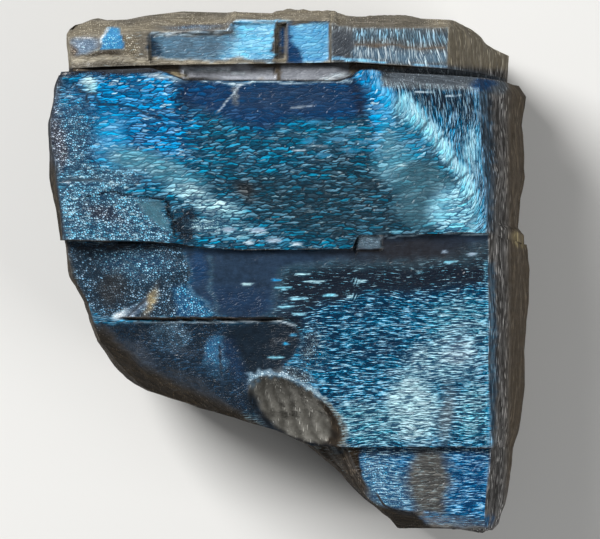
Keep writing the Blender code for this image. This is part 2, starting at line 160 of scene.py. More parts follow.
# The shell-shaped chip.
CHIP_MIDDLE = (0.6, -17.9)
CHIP_TURN = atan2(-3.9, 5.6)
CHIP_TILT = 0.25
CHIP_HALF_SIZES = (6.9, 3.5, 3.0)
CHIP_LIFT = 0.7  # of its middle over the lower block's face
CHIP_CLEAR = 5
CHIP_RIB = 0.07  # share of the chip's depth
CHIP_RIB_SKEW = 0.6
CHIP_RIB_SPACING = 1.6
CHIP_RIB_LEAN = (0.3, 0.06)  # in the chip's middle, and how much more for each millimetre to the right
CHIP_RIB_BENDS = {"height": 0.45, "spread": (2.6, 2.4, 9.0), "seed": 68}
CHIP_SPLINTERS = {"height": 0.08, "spread": (0.5, 0.5, 3.0), "seed": 67}  # of its rim, as shares of its size

# Terraces on the back, one cleavage thick, where it stands off the surface. It is flat between them.
LEFT_TERRACE = {"to_x": -17.5, "height": 1.1}
RIGHT_TERRACE = {"from_x": 19.5, "from_y": -3.0, "height": 0.9}
FOOT_TERRACE = {"to_y": -16.5, "height": 1.0}
SLAB_TERRACE = {"to_x": -12.0, "height": 1.0}
TERRACE_EDGE = 0.6  # how gradually a terrace starts

# The natural relief that the solid has too: how high it stands, and how far it spreads in X, Y and Z.
FACE_WAVES = {"height": 0.16, "spread": (5.0, 1.9, 30.0), "seed": 11}
SIDE_RIDGES = {"height": 0.42, "spread": (3.0, 9.0, 2.6), "seed": 23}
SIDE_LUMPS = {"height": 0.3, "spread": (6.0, 6.0, 6.0), "seed": 31}

# Where a surface has the face's relief instead of the sides': how far up it faces, from -1 to 1, and how
# softly.
FACING, FACING_SOFT = 0.75, 0.3

# The finer relief, on the skin alone.
FACE_RIPPLES = {"height": 0.03, "spread": (1.5, 0.45, 9.0), "seed": 41}
SIDE_STRIAE = {"height": 0.12, "spread": (0.9, 4.5, 0.8), "seed": 43}
SIDE_SPLINTERS = {"height": 0.07, "spread": (0.5, 1.3, 0.45), "seed": 47}

# How painted edges wander and fray, how the rows of pits bend, and where cracks fade out.
TONE_WANDER = {"height": 0.7, "spread": (3.2, 2.4, 30.0), "seed": 51}
TONE_FRAY = {"height": 0.35, "spread": (0.9, 0.45, 9.0), "seed": 53}
PIT_FRAY = {"height": 0.12, "spread": (0.45, 0.3, 9.0), "seed": 55}
GRAIN_WAVES = {"height": 0.5, "spread": (5.5, 4.0, 30.0), "seed": 57}
GRAIN_BENDS = {"height": 0.14, "spread": (1.6, 1.5, 9.0), "seed": 59}
GRAIN_TURN, GRAIN_TURN_ROUND = 1.67, 0.7
ROW_SHIFT = 0.38  # of one row of pits against the next, as a share of a pit's length
CRACK_GAPS = {"height": 1.6, "spread": (1.1, 1.1, 9.0), "seed": 61}
SIDE_PATCHES = {"height": 1.0, "spread": (5.0, 7.0, 4.0), "seed": 63}
BLUE_PATCHES = {**SIDE_PATCHES, "seed": 97}

# Columns on the six runs of a cross-section: face, right side above and below its widest line, back, and left
# side below and above. Rings stand RING_STEP apart, with LEDGE_RINGS more on each ledge between layers.
RUN_COLUMNS = (188, 26, 10, 18, 10, 14)
FACE, BACK = 0, 3
RING_STEP = 0.19
FEWEST_RINGS = 7  # in a thin layer
LEDGE_RINGS = 4
# The rings that close an end, as shares of the way out from its middle line.
CAP_SHARES = (0.97, 0.9, 0.78, 0.63, 0.47, 0.31, 0.15, 0.04)


def along(pairs, at):
    """The value at a place on a line of (place, value) pairs, straight between them."""
    places, values = zip(*sorted(pairs))
    return np.interp(at, places, values)


def ease(distance, width):
    """0 before a line, 1 past it, and the smooth step 3t^2 - 2t^3 of this width between."""
    t = np.clip(distance / width + 0.5, 0, 1)
    return t * t * (3 - 2 * t)


def beyond(distance, width):
    """The distance past a line, 0 before it, turning smoothly: width * log(1 + e^(distance / width))."""
    return np.logaddexp(0, distance / width) * width


def past_line(x, y, line):
    """The distance from a facet's line, positive on the left of the way from its start to its end."""
    (x0, y0), (x1, y1) = line["start"], line["end"]
    return ((y - y0) * (x1 - x0) - (x - x0) * (y1 - y0)) / hypot(x1 - x0, y1 - y0)


def facet_fall(x, y, facet):
    """How far the face falls below its own level on a facet: its slope times the distance past its line."""
    return facet["slope"] * beyond(past_line(x, y, facet), facet["round"])


def lattice_value(cell, seed):
    """A fixed value from -1 to 1 for each whole-number cell: its numbers times large ones, with the bits
    mixed."""
    mixed = cell @ np.array([374761393, 668265263, 2147483647]) + seed * 1274126177
    mixed = (mixed ^ (mixed >> 13)) & 0xFFFFFFFF
    mixed = (mixed * 1274126177) & 0xFFFFFFFF
    return ((mixed ^ (mixed >> 16)) & 0xFFFF) / 32767.5 - 1


def lumps(points, kind):
    """Smooth lumps of one kind of relief: values at the corners of boxes of its spread, blended between."""
    scaled = points / np.array(kind["spread"])
    cell = np.floor(scaled).astype(np.int64)
    t = scaled - cell
    t = t * t * (3 - 2 * t)
    total = np.zeros(points.shape[:-1])
    for corner in np.ndindex(2, 2, 2):
        share = np.prod(np.where(corner, t, 1 - t), axis=-1)
        total += share * lattice_value(cell + np.array(corner), kind["seed"])
    return kind["height"] * total


def level(height):
    """A face or back at one height all over, as a function of X and Y."""
    return lambda x, y: np.full(np.shape(x), height)


def foot_face(x, y):
    """The foot's etched face, less the broken facet on its left and the bevel at its end."""
    z = FACE_HEIGHT - FOOT_SET_BACK - facet_fall(x, y, FOOT_FACET)
    return z - BREAK_SLOPE * beyond(along(FOOT_BEVEL, x) - y, BREAK_ROUND)


def lower_face(x, y):
    """The lower block's face: a flat cleavage, less a tilt to the left above the crack, a steeper one below
    it and the crack's step, plus the small remnant."""
    above_crack = ease(y - CRACK_LINE + 1.5, 3.0)
    z = LOWER_HEIGHT - facet_fall(x, y, CORNER_BREAK)
    z = z - facet_fall(x, y, FROSTED_FACET) * above_crack
    z = z - facet_fall(x, y, LOWER_LEFT_FACET) * (1 - above_crack)
    fade = ease(x - CRACK_ENDS[0] - 1, 3.0) * ease(CRACK_ENDS[1] - x, 6.0) * ease(y - CRACK_LINE + 5.5, 9.0)
    z = z - CRACK_STEP * ease(CRACK_LINE - y, 0.3) * fade
    across = ease(x - REMNANT["left"], REMNANT["edge"]) * ease(REMNANT["right"] - x, REMNANT["edge"])
    return z + REMNANT["height"] * across * ease(y - REMNANT["bottom"], REMNANT["edge"])


def turned_distance(x, y):
    """The distance past the bowed line where the upper face turns away: past a straight line, less a
    parabola."""
    (x0, y0), (x1, y1) = TURNED_PLANE["start"], TURNED_PLANE["end"]
    share = ((x - x0) * (x1 - x0) + (y - y0) * (y1 - y0)) / ((x1 - x0) ** 2 + (y1 - y0) ** 2)
    return -past_line(x, y, TURNED_PLANE) - TURNED_PLANE_BOW * np.clip(1 - (2 * share - 1) ** 2, 0, 1)


def upper_face(x, y):
    """The upper block's face: a broad plane, less the turned plane at the upper right, the shoulder and the
    lip along its top edge, and the roll along its left one."""
    z = FACE_HEIGHT - TURNED_PLANE["slope"] * beyond(turned_distance(x, y), TURNED_PLANE["round"])
    from_top = along(UPPER_TOP, x) - y
    shoulder = SHOULDER["slope"] * beyond(SHOULDER["width"] - from_top, 0.2)
    lip = LIP["slope"] * beyond(LIP["width"] - from_top, 0.1)
    z = z - shoulder * ease(x - SHOULDER["from_x"], EDGE_FADE) - lip * ease(LIP["to_x"] - x, EDGE_FADE)
    return z - facet_fall(x, y, LEFT_ROLL)


def slab_face(x, y):
    """The top slab's face: a level, plus a low step across it, less the broken band along its top."""
    z = FACE_HEIGHT - SLAB_SET_BACK + SLAB_STEP * ease(x - SLAB_STEP_X, 0.3)
    return z - BREAK_SLOPE * beyond(y - along(SLAB_BAND, x), BREAK_ROUND) - facet_fall(x, y, SLAB_LEFT_ROLL)


def upper_back(x, y):
    """The back cleavage: flat on the surface, plus terraces at its left end and its upper right."""
    left = ease(LEFT_TERRACE["to_x"] - x, TERRACE_EDGE)
    right = ease(x - RIGHT_TERRACE["from_x"], TERRACE_EDGE) * ease(y - RIGHT_TERRACE["from_y"], TERRACE_EDGE)
    return LEFT_TERRACE["height"] * left + RIGHT_TERRACE["height"] * right


def lower_back(x, y):
    """The back cleavage of the lower block: the upper block's, plus one more terrace towards the foot."""
    return upper_back(x, y) + FOOT_TERRACE["height"] * ease(FOOT_TERRACE["to_y"] - y, TERRACE_EDGE)


def slab_back(x, y):
    """The slab's back: a level, plus a terrace at its left end."""
    return SLAB_BACK_LIFT + SLAB_TERRACE["height"] * ease(SLAB_TERRACE["to_x"] - x, TERRACE_EDGE)


# Each layer from the foot up. inset is how far the back's edges stand in from the outline, left and right;
# widest is the height of the outline's two widest lines; lean is how far the face's left edge stands in.
LAYERS = [
    {
        "low": FOOT_END, "high": FOOT_TOP, "left": FOOT_LEFT, "right": FOOT_RIGHT, "edge": FOOT_EDGE,
        "face": foot_face, "back": level(FOOT_BACK_LIFT), "inset": (2.0, 2.6), "widest": (12.5, 12.0),
        "lean": 0.7,
    },
    {
        "low": FOOT_TOP, "high": LOWER_TOP, "left": LOWER_LEFT, "right": LOWER_RIGHT, "edge": LOWER_EDGE,
        "face": lower_face, "back": lower_back, "inset": (3.4, 3.6), "widest": (11.5, 11.5), "lean": 0.9,
    },
    {
        "low": LOWER_TOP, "high": UPPER_TOP, "left": UPPER_LEFT, "right": UPPER_RIGHT, "edge": UPPER_EDGE,
        "face": upper_face, "back": upper_back, "inset": (2.6, 3.0), "widest": (13.5, 12.5), "lean": 1.1,
    },
    {
        "low": UPPER_TOP, "high": STRIP_TOP, "left": SLAB_LEFT, "right": SLAB_RIGHT, "edge": SLAB_EDGE,
        "face": level(FACE_HEIGHT - STRIP_SET_BACK), "back": level(STRIP_BACK_LIFT), "inset": (2.4, 3.2),
        "widest": (13.0, 10.5), "lean": 0.8,
    },
    {
        "low": STRIP_TOP, "high": SLAB_TOP, "left": SLAB_LEFT, "right": SLAB_RIGHT, "edge": SLAB_EDGE,
        "face": slab_face, "back": slab_back, "inset": (2.8, 2.6), "widest": (13.0, 10.5), "lean": 0.6,
    },
]


def between(low, high, share):
    """The value this share of the way from low to high."""
    return low + (high - low) * share


def section_corners(layer, shares):
    """The X of a cross-section's six corners, one row for each share of the way up the layer."""
    low, high = layer["low"], layer["high"]
    left_level = between(low[0][1], high[0][1], shares)
    right_level = between(low[-1][1], high[-1][1], shares)
    left, right = along(layer["left"], left_level), along(layer["right"], right_level)
    edge = along(layer["edge"], right_level)
    inset_left, inset_right = layer["inset"]
    back_right, back_left = right - inset_right, left + inset_left
    return np.stack([left + layer["lean"], edge, right, back_right, back_left, left], axis=-1)


def layer_rings(layer, shares):
    """Closed rings round a layer, one row for each share of the way from its low line to its high one.

    A ring runs across the face, down the right side, back along the back and up the left side. Each column
    stands at a fixed share of its run between two corners. Y is between the layer's two boundary lines; Z is
    the face's or back's own function of X and Y on those runs, and straight between corners on the sides."""
    corners = section_corners(layer, shares)
    run = np.repeat(np.arange(6), RUN_COLUMNS)
    way = np.concatenate([np.arange(count) / count for count in RUN_COLUMNS])
    after = (run + 1) % 6
    share = shares[:, None]
    x = between(corners[:, run], corners[:, after], way)
    y = between(along(layer["low"], x), along(layer["high"], x), share)
    corner_y = between(along(layer["low"], corners), along(layer["high"], corners), share)
    face, back = layer["face"](corners, corner_y), layer["back"](corners, corner_y)
    left_widest, right_widest = [np.full(len(shares), height) for height in layer["widest"]]
    heights = np.stack([face[:, 0], face[:, 1], right_widest, back[:, 3], back[:, 4], left_widest], axis=-1)
    z = between(heights[:, run], heights[:, after], way)
    z = np.where(run == FACE, layer["face"](x, y), z)
    z = np.where(run == BACK, layer["back"](x, y), z)
    return np.stack([x, y, z], axis=-1)


def cap(rim, line):
    """Rings that close an end: the rim drawn in by fixed shares towards the end's middle line, each point's
    Y on the end's own line."""
    low, high = rim.min(axis=0), rim.max(axis=0)
    middle, half = (low + high) / 2, (high - low) / 2
    spare = np.maximum(half - min(half[0], half[2]), 0)
    target = np.clip(rim, middle - spare, middle + spare)
    rings = target + (rim - target) * np.array(CAP_SHARES)[:, None, None]
    rings[..., 1] = along(line, rings[..., 0])
    return rings


def stone_rings():
    """All rings of the stone as one (rows, columns, 3) array, from the middle of the foot's end to the
    middle of the slab's end, and the first row of each layer."""
    blocks, starts, last = [], [], None
    for layer in LAYERS:
        length = np.mean([y for _, y in layer["high"]]) - np.mean([y for _, y in layer["low"]])
        rings = layer_rings(layer, np.linspace(0, 1, max(FEWEST_RINGS, round(length / RING_STEP) + 1)))
        if last is not None:
            steps = np.arange(1, LEDGE_RINGS + 1) / (LEDGE_RINGS + 1)
            blocks.append(between(last, rings[0], steps[:, None, None]))
        starts.append(sum(len(block) for block in blocks) + len(CAP_SHARES))
        blocks.append(rings)
        last = rings[-1]
    rings = np.concatenate([cap(blocks[0][0], FOOT_END)[::-1], *blocks, cap(last, SLAB_TOP)])
    end_rings = len(CAP_SHARES) + 1
    step = END_STEP * ease(END_STEP_HEIGHT - rings[..., 2], END_STEP_SOFT)
    rings[:end_rings, :, 1] += step[:end_rings]
    rings[-end_rings:, :, 1] -= step[-end_rings:]
    return rings, starts


def outward(rings):
    """The outward direction at each point: the cross product of the steps round its ring and between rings."""
    around = np.roll(rings, -1, axis=1) - np.roll(rings, 1, axis=1)
    normal = np.cross(around, np.gradient(rings, axis=0))
    return normal / np.maximum(np.linalg.norm(normal, axis=-1, keepdims=True), 1e-9)


def relief_way(rings):
    """The direction that relief rises in: outward within each ring's own plane, a quarter turn from the
    step round the ring, so that ledges stay whole, and fully outward on the two end caps."""
    way = outward(rings)
    around = np.roll(rings, -1, axis=1) - np.roll(rings, 1, axis=1)
    across = np.stack([-around[..., 2], np.zeros(around.shape[:2]), around[..., 0]], axis=-1)
    across = across / np.maximum(np.linalg.norm(across, axis=-1, keepdims=True), 1e-9)
    caps = len(CAP_SHARES)
    way[caps:-caps] = across[caps:-caps]
    return way


def with_relief(rings, face_kinds, side_kinds):
    """The rings moved along their relief's way by the sum of some kinds of lumps: one set on what faces up,
    and another on the sides between the etched face and the flat back."""
    facing = outward(rings)[..., 2]
    upward, downward = ease(facing - FACING, FACING_SOFT), ease(-facing - FACING, FACING_SOFT)
    rise = upward * sum(lumps(rings, kind) for kind in face_kinds)
    rise += np.clip(1 - upward - downward, 0, 1) * sum(lumps(rings, kind) for kind in side_kinds)
    return rings + relief_way(rings) * rise[..., None]


def rib_turn(dx, dy):
    """How far round the wave of the chip's ribs a place is: its X, bent by lumps and leant by a share of Y
    that grows to the right, over the ribs' spacing, with a sine added that makes each rib steeper on one
    side."""
    dx = dx + lumps(np.stack([dx, dy, np.zeros(np.shape(dx))], axis=-1), CHIP_RIB_BENDS)
    lean = CHIP_RIB_LEAN[0] + CHIP_RIB_LEAN[1] * dx
    turn = 2 * pi * (dx + lean * dy) / CHIP_RIB_SPACING
    return turn + CHIP_RIB_SKEW * np.sin(turn)


def chip_place(dx, dy):
    """A place from the chip's middle, turned into (u, v) along and across the chip."""
    c, s = cos(CHIP_TURN), sin(CHIP_TURN)
    return dx * c + dy * s, dy * c - dx * s


def chip_floor(x, y):
    """The chip's surface: the lower half of an ellipsoid turned in plan and tilted about its long axis, found
    as the lower root of its quadratic in Z, with its depth waved by ribs. Outside the ellipsoid it stands
    CHIP_CLEAR over the etched face, so that it cuts nothing."""
    dx, dy = x - CHIP_MIDDLE[0], y - CHIP_MIDDLE[1]
    u, v = chip_place(dx, dy)
    half_u, half_v, half_w = CHIP_HALF_SIZES
    half_w = half_w * (1 + CHIP_RIB * np.sin(rib_turn(dx, dy)))
    c, s = cos(CHIP_TILT), sin(CHIP_TILT)
    square = s * s / half_v**2 + c * c / half_w**2
    slope = 2 * v * s * c * (1 / half_v**2 - 1 / half_w**2)
    constant = v * v * (c * c / half_v**2 + s * s / half_w**2) + (u / half_u) ** 2 - 1
    inside = slope**2 - 4 * square * constant
    root = (-slope - np.sqrt(np.maximum(inside, 0))) / (2 * square)
    return np.where(inside > 0, LOWER_HEIGHT + CHIP_LIFT + root, FACE_HEIGHT + CHIP_CLEAR)


def carved(rings):
    """The rings with the panels, the crack, the chip and the fine cracks cut. Z is brought down to a
    panel's or the chip's floor, and lowered by a wedge in the crack and by a smooth step along each fine
    crack's line."""
    x, y, z = np.moveaxis(rings, -1, 0)
    slab_level = FACE_HEIGHT - SLAB_SET_BACK
    for (left, bottom), (right, top), depth in PANELS.values():
        inside = ease(x - left, PANEL_WALL) * ease(right - x, PANEL_WALL)
        inside = inside * ease(y - bottom, PANEL_WALL) * ease(top - y, PANEL_WALL)
        floor = slab_level - depth + (z - slab_level) * PANEL_FOLLOWS
        z = np.where(z > floor, between(z, floor, inside), z)
    off_line = y - CRACK_LINE
    mouth = np.where(off_line < 0, off_line / CRACK_MOUTH[0], off_line / CRACK_MOUTH[1]) / CRACK_CLOSING
    (left_in, left_soft), (right_in, right_soft) = CRACK_FADES
    ends = ease(x - CRACK_ENDS[0] - left_in, left_soft) * ease(CRACK_ENDS[1] - x - right_in, right_soft)
    groove = CRACK_DEPTH * CRACK_CLOSING * np.clip(1 - np.abs(mouth), 0, 1) * ends
    z = np.where(z > MID_HEIGHT, z - groove, z)
    z = np.where(z > MID_HEIGHT, np.minimum(z, chip_floor(x, y)), z)
    fray_x, fray_y = wandering(rings, [PIT_FRAY])
    for strength, line in BROWN_CRACKS:
        opened = ease(CRACK_WIDTH - from_line(fray_x, fray_y, line), FINE_CRACK_SOFT) * (z > FINE_CRACKS_FROM)
        z = z - FINE_CRACK_DEPTH * strength * opened
    return np.stack([x, y, z], axis=-1)


def from_line(x, y, points):
    """The distance to the nearest of the line's stretches, each one's nearest point clamped to its ends."""
    nearest = np.full(np.shape(x), 1e9)
    for (x0, y0), (x1, y1) in zip(points, points[1:]):
        way = ((x - x0) * (x1 - x0) + (y - y0) * (y1 - y0)) / ((x1 - x0) ** 2 + (y1 - y0) ** 2)
        way = np.clip(way, 0, 1)
        nearest = np.minimum(nearest, np.hypot(x - between(x0, x1, way), y - between(y0, y1, way)))
    return nearest


def inside_outline(x, y, points):
    """Whether a place is in an outline: a line from it to the right crosses it an odd number of times."""
    odd = np.zeros(np.shape(x), bool)
    for (x0, y0), (x1, y1) in zip(points, points[1:] + points[:1]):
        if y0 != y1:
            odd ^= ((y0 > y) != (y1 > y)) & (x < x0 + (y - y0) * (x1 - x0) / (y1 - y0))
    return odd


def bloom(tone, middle, half_sizes, turn, soft, **more):
    """Paint in a soft ellipse turned by some degrees. Its reach at a place is 1 less the length of (u, v),
    the place from its middle as shares of its half sizes, times the smaller half size."""
    c, s = cos(radians(turn)), sin(radians(turn))

    def reach(x, y):
        u, v = (x - middle[0]) * c + (y - middle[1]) * s, (y - middle[1]) * c - (x - middle[0]) * s
        return (1 - np.hypot(u / half_sizes[0], v / half_sizes[1])) * min(half_sizes)

    return {"tone": tone, "reach": reach, "soft": soft, **more}


def band(tone, points, half, soft, **more):
    """Paint along a line of (X, Y) points. Its reach is its half width less the distance to the line."""
    return {"tone": tone, "reach": lambda x, y: half - from_line(x, y, points), "soft": soft, **more}


def patch(tone, points, soft, **more):
    """Paint that fills an outline of (X, Y) points. Its reach is the distance to it, negative outside it."""

    def reach(x, y):
        edge = from_line(x, y, points + points[:1])
        return np.where(inside_outline(x, y, points), edge, -edge)

    return {"tone": tone, "reach": reach, "soft": soft, **more}


def past_turn(tone, distance, soft, **more):
    """Paint on the turned plane. Its reach is how much further than this distance past its line a place
    is."""
    return {"tone": tone, "reach": lambda x, y: turned_distance(x, y) - distance, "soft": soft, **more}


def cover(x, y, row):
    """How far a row of paint covers each place, from 0 to 1: a smooth step of its reach, as wide as it is
    soft."""
    return ease(row["reach"](x, y), row["soft"])


# Tones of the feldspar: the colour between the pits and the colour of their flashing faces. The flash is
# painted sheen: the blue that the pits throw back is set in the base colour, the same from every view.
TONES = {
    "teal": ("#0B2A3E", "#4FA2C8"), "deep_teal": ("#13242F", "#5488A2"),
    "grey_teal": ("#24404E", "#6294A6"), "pale_teal": ("#26576E", "#8CC8DC"),
    "azure": ("#052E55", "#3CACEE"), "glow": ("#146DA2", "#64C0EE"), "plate": ("#174058", "#4A90B6"),
    "navy": ("#0E2848", "#34689C"), "deep_navy": ("#17273F", "#2F5278"), "ink": ("#15161D", "#37435A"),
    "plum": ("#1A1C28", "#C4D0E0"), "streak_blue": ("#0A1420", "#5CB0E4"), "cyan": ("#125078", "#AAEEFF"),
    "ripple": ("#04203A", "#58BCEE"), "bright_ripple": ("#06304E", "#9CE6FC"),
    "ice": ("#0D4262", "#CFF8FF"), "lavender": ("#44586E", "#AFC4D8"), "slate": ("#121A22", "#3C566E"),
    "frost": ("#0C2A48", "#A4DCF6"), "grey_frost": ("#101D2A", "#93B8D4"),
    "panel_navy": ("#18232F", "#3C5675"), "panel_brown": ("#1F1D1F", "#3C4450"),
    "sky": ("#2F7DB6", "#9CE2FC"), "dull_blue": ("#3D4E5C", "#7196AF"), "grey": ("#2F3338", "#828A94"),
    "steel": ("#2B3945", "#8BA4B4"), "smoke": ("#120D09", "#A3978A"), "dark_smoke": ("#0D0906", "#5C5042"),
    "beige": ("#5A5244", "#CBC3B0"), "taupe": ("#362F27", "#8C8070"), "gold": ("#463C2C", "#CDBF9C"),
    "chip_grey": ("#33312C", "#B4B2AA"), "white": ("#8FA8B8", "#F6FCFF"), "pepper": ("#070C12", "#E6F4FA"),
    "black": ("#05070A", "#232C38"), "whitish": ("#48708C", "#D8EAF2"),
    "dark_slate": ("#0A0F15", "#30465A"), "foot_grey": ("#25272A", "#8C8A84"),
    "crack": ("#15110E", "#2C241C"), "slab_streak": ("#3E3D3B", "#BECAD0"),
    "slab_stone": ("#443F36", "#A49D90"), "groove_brown": ("#201E1C", "#5C5C5A"),
    "speck_blue": ("#0E3C64", "#98D6F6"), "sparse": ("#161E2A", "#9CDCF8"),
    "dim_blue": ("#101922", "#3E5E7C"), "steel_streak": ("#3A4C5A", "#9ACCE8"),
    "strip_grey": ("#6A6E76", "#C2C6CE"), "dashes": ("#0D0907", "#E0DEDC"),
    "shoulder": ("#343B42", "#A8B4BE"), "umber": ("#1D1812", "#5E5344"),
    "back_grey": ("#262C30", "#5E6A70"),
}

# What shows on the etched face, painted in this order over what is there. Each row gives its tone, its
# shape in millimetres, how wide its soft edge is, and what it sets: flash is the share of the pits that show
# the painted blue sheen, as if they caught the light, frost how far fine dots stand in for pits, plain how
# far the surface is smooth instead of pitted, and rippled how far long ripples stand in for pits. amount is
# how strong the row is, and above the Z from which it shows. Pale lines along some edges are painted
# highlights, and a few dark bands are painted shade; each is marked where it stands.
ABOVE_SOFT = 0.6
UPPER_PAINT = [
    bloom("deep_teal", (6.0, 9.0), (15.0, 5.5), -8, 4, flash=0.5),
    bloom("teal", (-6.0, 15.5), (9.0, 3.0), -14, 3, flash=0.5),
    bloom("azure", (-20.5, 18.6), (8.6, 7.0), -20, 4, flash=0.64),
    bloom("azure", (-19.4, 22.6), (5.4, 2.6), -4, 1.6, flash=0.7, plain=0.05),
    bloom("glow", (-22.3, 16.4), (2.0, 3.4), 18, 2.4, flash=0.62, plain=0.2),
    bloom("pale_teal", (-18.4, 13.4), (4.4, 1.7), -12, 1.8, flash=0.5, plain=0.3),
    bloom("pale_teal", (-14.0, 11.8), (4.0, 1.3), -24, 1.5, flash=0.55, plain=0.2),
    bloom("frost", (-27.0, 15.5), (2.6, 5.2), 4, 4.0, flash=0.5, frost=0.75),
    bloom("frost", (-23.5, 11.2), (4.6, 1.6), 0, 1.6, flash=0.62, frost=0.6),
    bloom("plum", (-29.0, 15.6), (1.0, 3.2), 0, 1.2, flash=0.5, frost=0.9),
    patch("navy", [(-14.8, 24.0), (9.2, 24.0), (10.4, 21.2), (9.7, 18.6), (1.2, 18.4), (-3.6, 17.4),
        (-9.4, 19.2), (-13.6, 21.0)], 2.6, flash=0.34, plain=0.25),
    bloom("deep_navy", (-0.6, 21.6), (6.6, 1.9), 0, 2.0, flash=0.42, plain=0.6),
    bloom("ink", (-13.7, 21.2), (1.2, 2.6), 0, 1.8, flash=0.3, amount=0.5),
    band("ink", [(7.9, 23.3), (8.8, 20.9), (9.3, 18.6)], 0.7, 1.4, flash=0.2, amount=0.6),
    bloom("teal", (6.4, 17.0), (5.8, 1.9), 0, 2.0, flash=0.55, plain=0.15),
    past_turn("streak_blue", 0.6, 1.6, flash=0.5, plain=0.0, rippled=0.4),
    band("ink", [(12.0, 22.8), (16.5, 21.4), (21.0, 20.6), (25.0, 20.4)], 1.3, 1.8, flash=0.4, amount=0.6),
    band("azure", [(9.9, 24.6), (11.2, 22.4), (11.9, 18.7), (11.9, 15.4)], 1.5, 1.8, flash=0.85, plain=0.1),
    band("glow", [(10.9, 23.4), (12.3, 20.9), (12.2, 17.9)], 0.8, 1.6, flash=0.8, plain=0.2),
    bloom("pale_teal", (13.0, 14.4), (2.2, 3.6), 10, 2.4, flash=0.55, plain=0.3),
    bloom("plate", (15.6, 17.0), (2.8, 2.6), -30, 3.0, flash=0.8, plain=0.15, amount=0.8),
    bloom("grey_teal", (16.6, 9.6), (3.6, 4.4), 10, 2.4, flash=0.45, plain=0.45),
    band("cyan", [(14.0, 20.8), (16.3, 18.4), (19.6, 14.9), (21.7, 11.2), (22.9, 7.6), (23.2, 4.9)], 1.0,
        1.5, flash=0.95, plain=0.1),
    bloom("cyan", (20.4, 7.4), (2.8, 2.9), 20, 2.0, flash=0.72),
    bloom("cyan", (23.6, 15.2), (1.6, 3.0), 0, 1.2, flash=0.7, amount=0.9),
    patch("steel", [(11.3, 25.2), (20.6, 25.4), (26.6, 24.2), (26.6, 22.3), (19.0, 22.4), (11.6, 22.9)],
        0.7, flash=0.6, frost=0.5, plain=0.3),
    bloom("ice", (-25.3, 23.0), (1.0, 1.0), 0, 1.0, flash=0.9),
    bloom("whitish", (-16.4, 24.0), (2.3, 0.35), -14, 0.4, flash=0.9),
    # Painted shade: a darker band along the top left edge, where the face rounds over the lip.
    band("ink", [(-28.4, 24.6), (-22.0, 25.2), (-16.4, 25.0)], 0.6, 0.7, flash=0.4, frost=0.8),
    bloom("ice", (-12.6, 10.0), (2.6, 0.9), -8, 1.0, flash=0.7),
    bloom("ice", (-9.6, 7.9), (3.2, 1.1), -14, 1.3, flash=0.62),
    bloom("bright_ripple", (-7.0, 5.2), (3.0, 1.0), -10, 1.2, flash=0.55),
    bloom("smoke", (-5.6, 9.8), (1.3, 1.1), -30, 1.4, flash=0.35, amount=0.6),
    patch("frost", [(-28.9, 9.9), (-22.6, 9.9), (-17.6, 8.9), (-15.3, 7.0), (-15.1, 3.4), (-29.0, 3.4)],
        0.9, flash=0.62, frost=1.0, plain=0.0),
    bloom("plum", (-23.4, 6.8), (2.6, 0.9), -20, 1.4, flash=0.3, frost=1.0, amount=0.8),
    patch("grey_teal", [(-18.8, 8.6), (-15.9, 8.8), (-15.3, 5.3), (-16.6, 5.6)], 0.8, flash=0.5, plain=0.7),
    bloom("slate", (-13.2, 5.6), (1.5, 2.3), 0, 1.0, flash=0.4, frost=0.4),
    bloom("ice", (-10.4, 5.6), (2.4, 0.9), 0, 1.2, flash=0.42, frost=0.4),
    band("black", [(-26.0, 8.9), (-22.6, 9.4), (-18.6, 9.3), (-15.6, 9.0)], 0.12, 0.2, flash=0.4,
        frost=1.0),
    band("black", [(-15.2, 8.6), (-14.8, 6.4), (-14.8, 4.2)], 0.2, 0.3, flash=0.45, frost=1.0),
    bloom("pepper", (-6.6, 22.2), (0.4, 1.2), 0, 0.4, flash=0.3, frost=1.0, amount=0.7),
    # Painted highlight: a pale line along the upper block's top edge.
    band("whitish", [(-15.7, 23.7), (-4.0, 23.55), (7.7, 23.4)], 0.12, 0.22, flash=0.8),
]
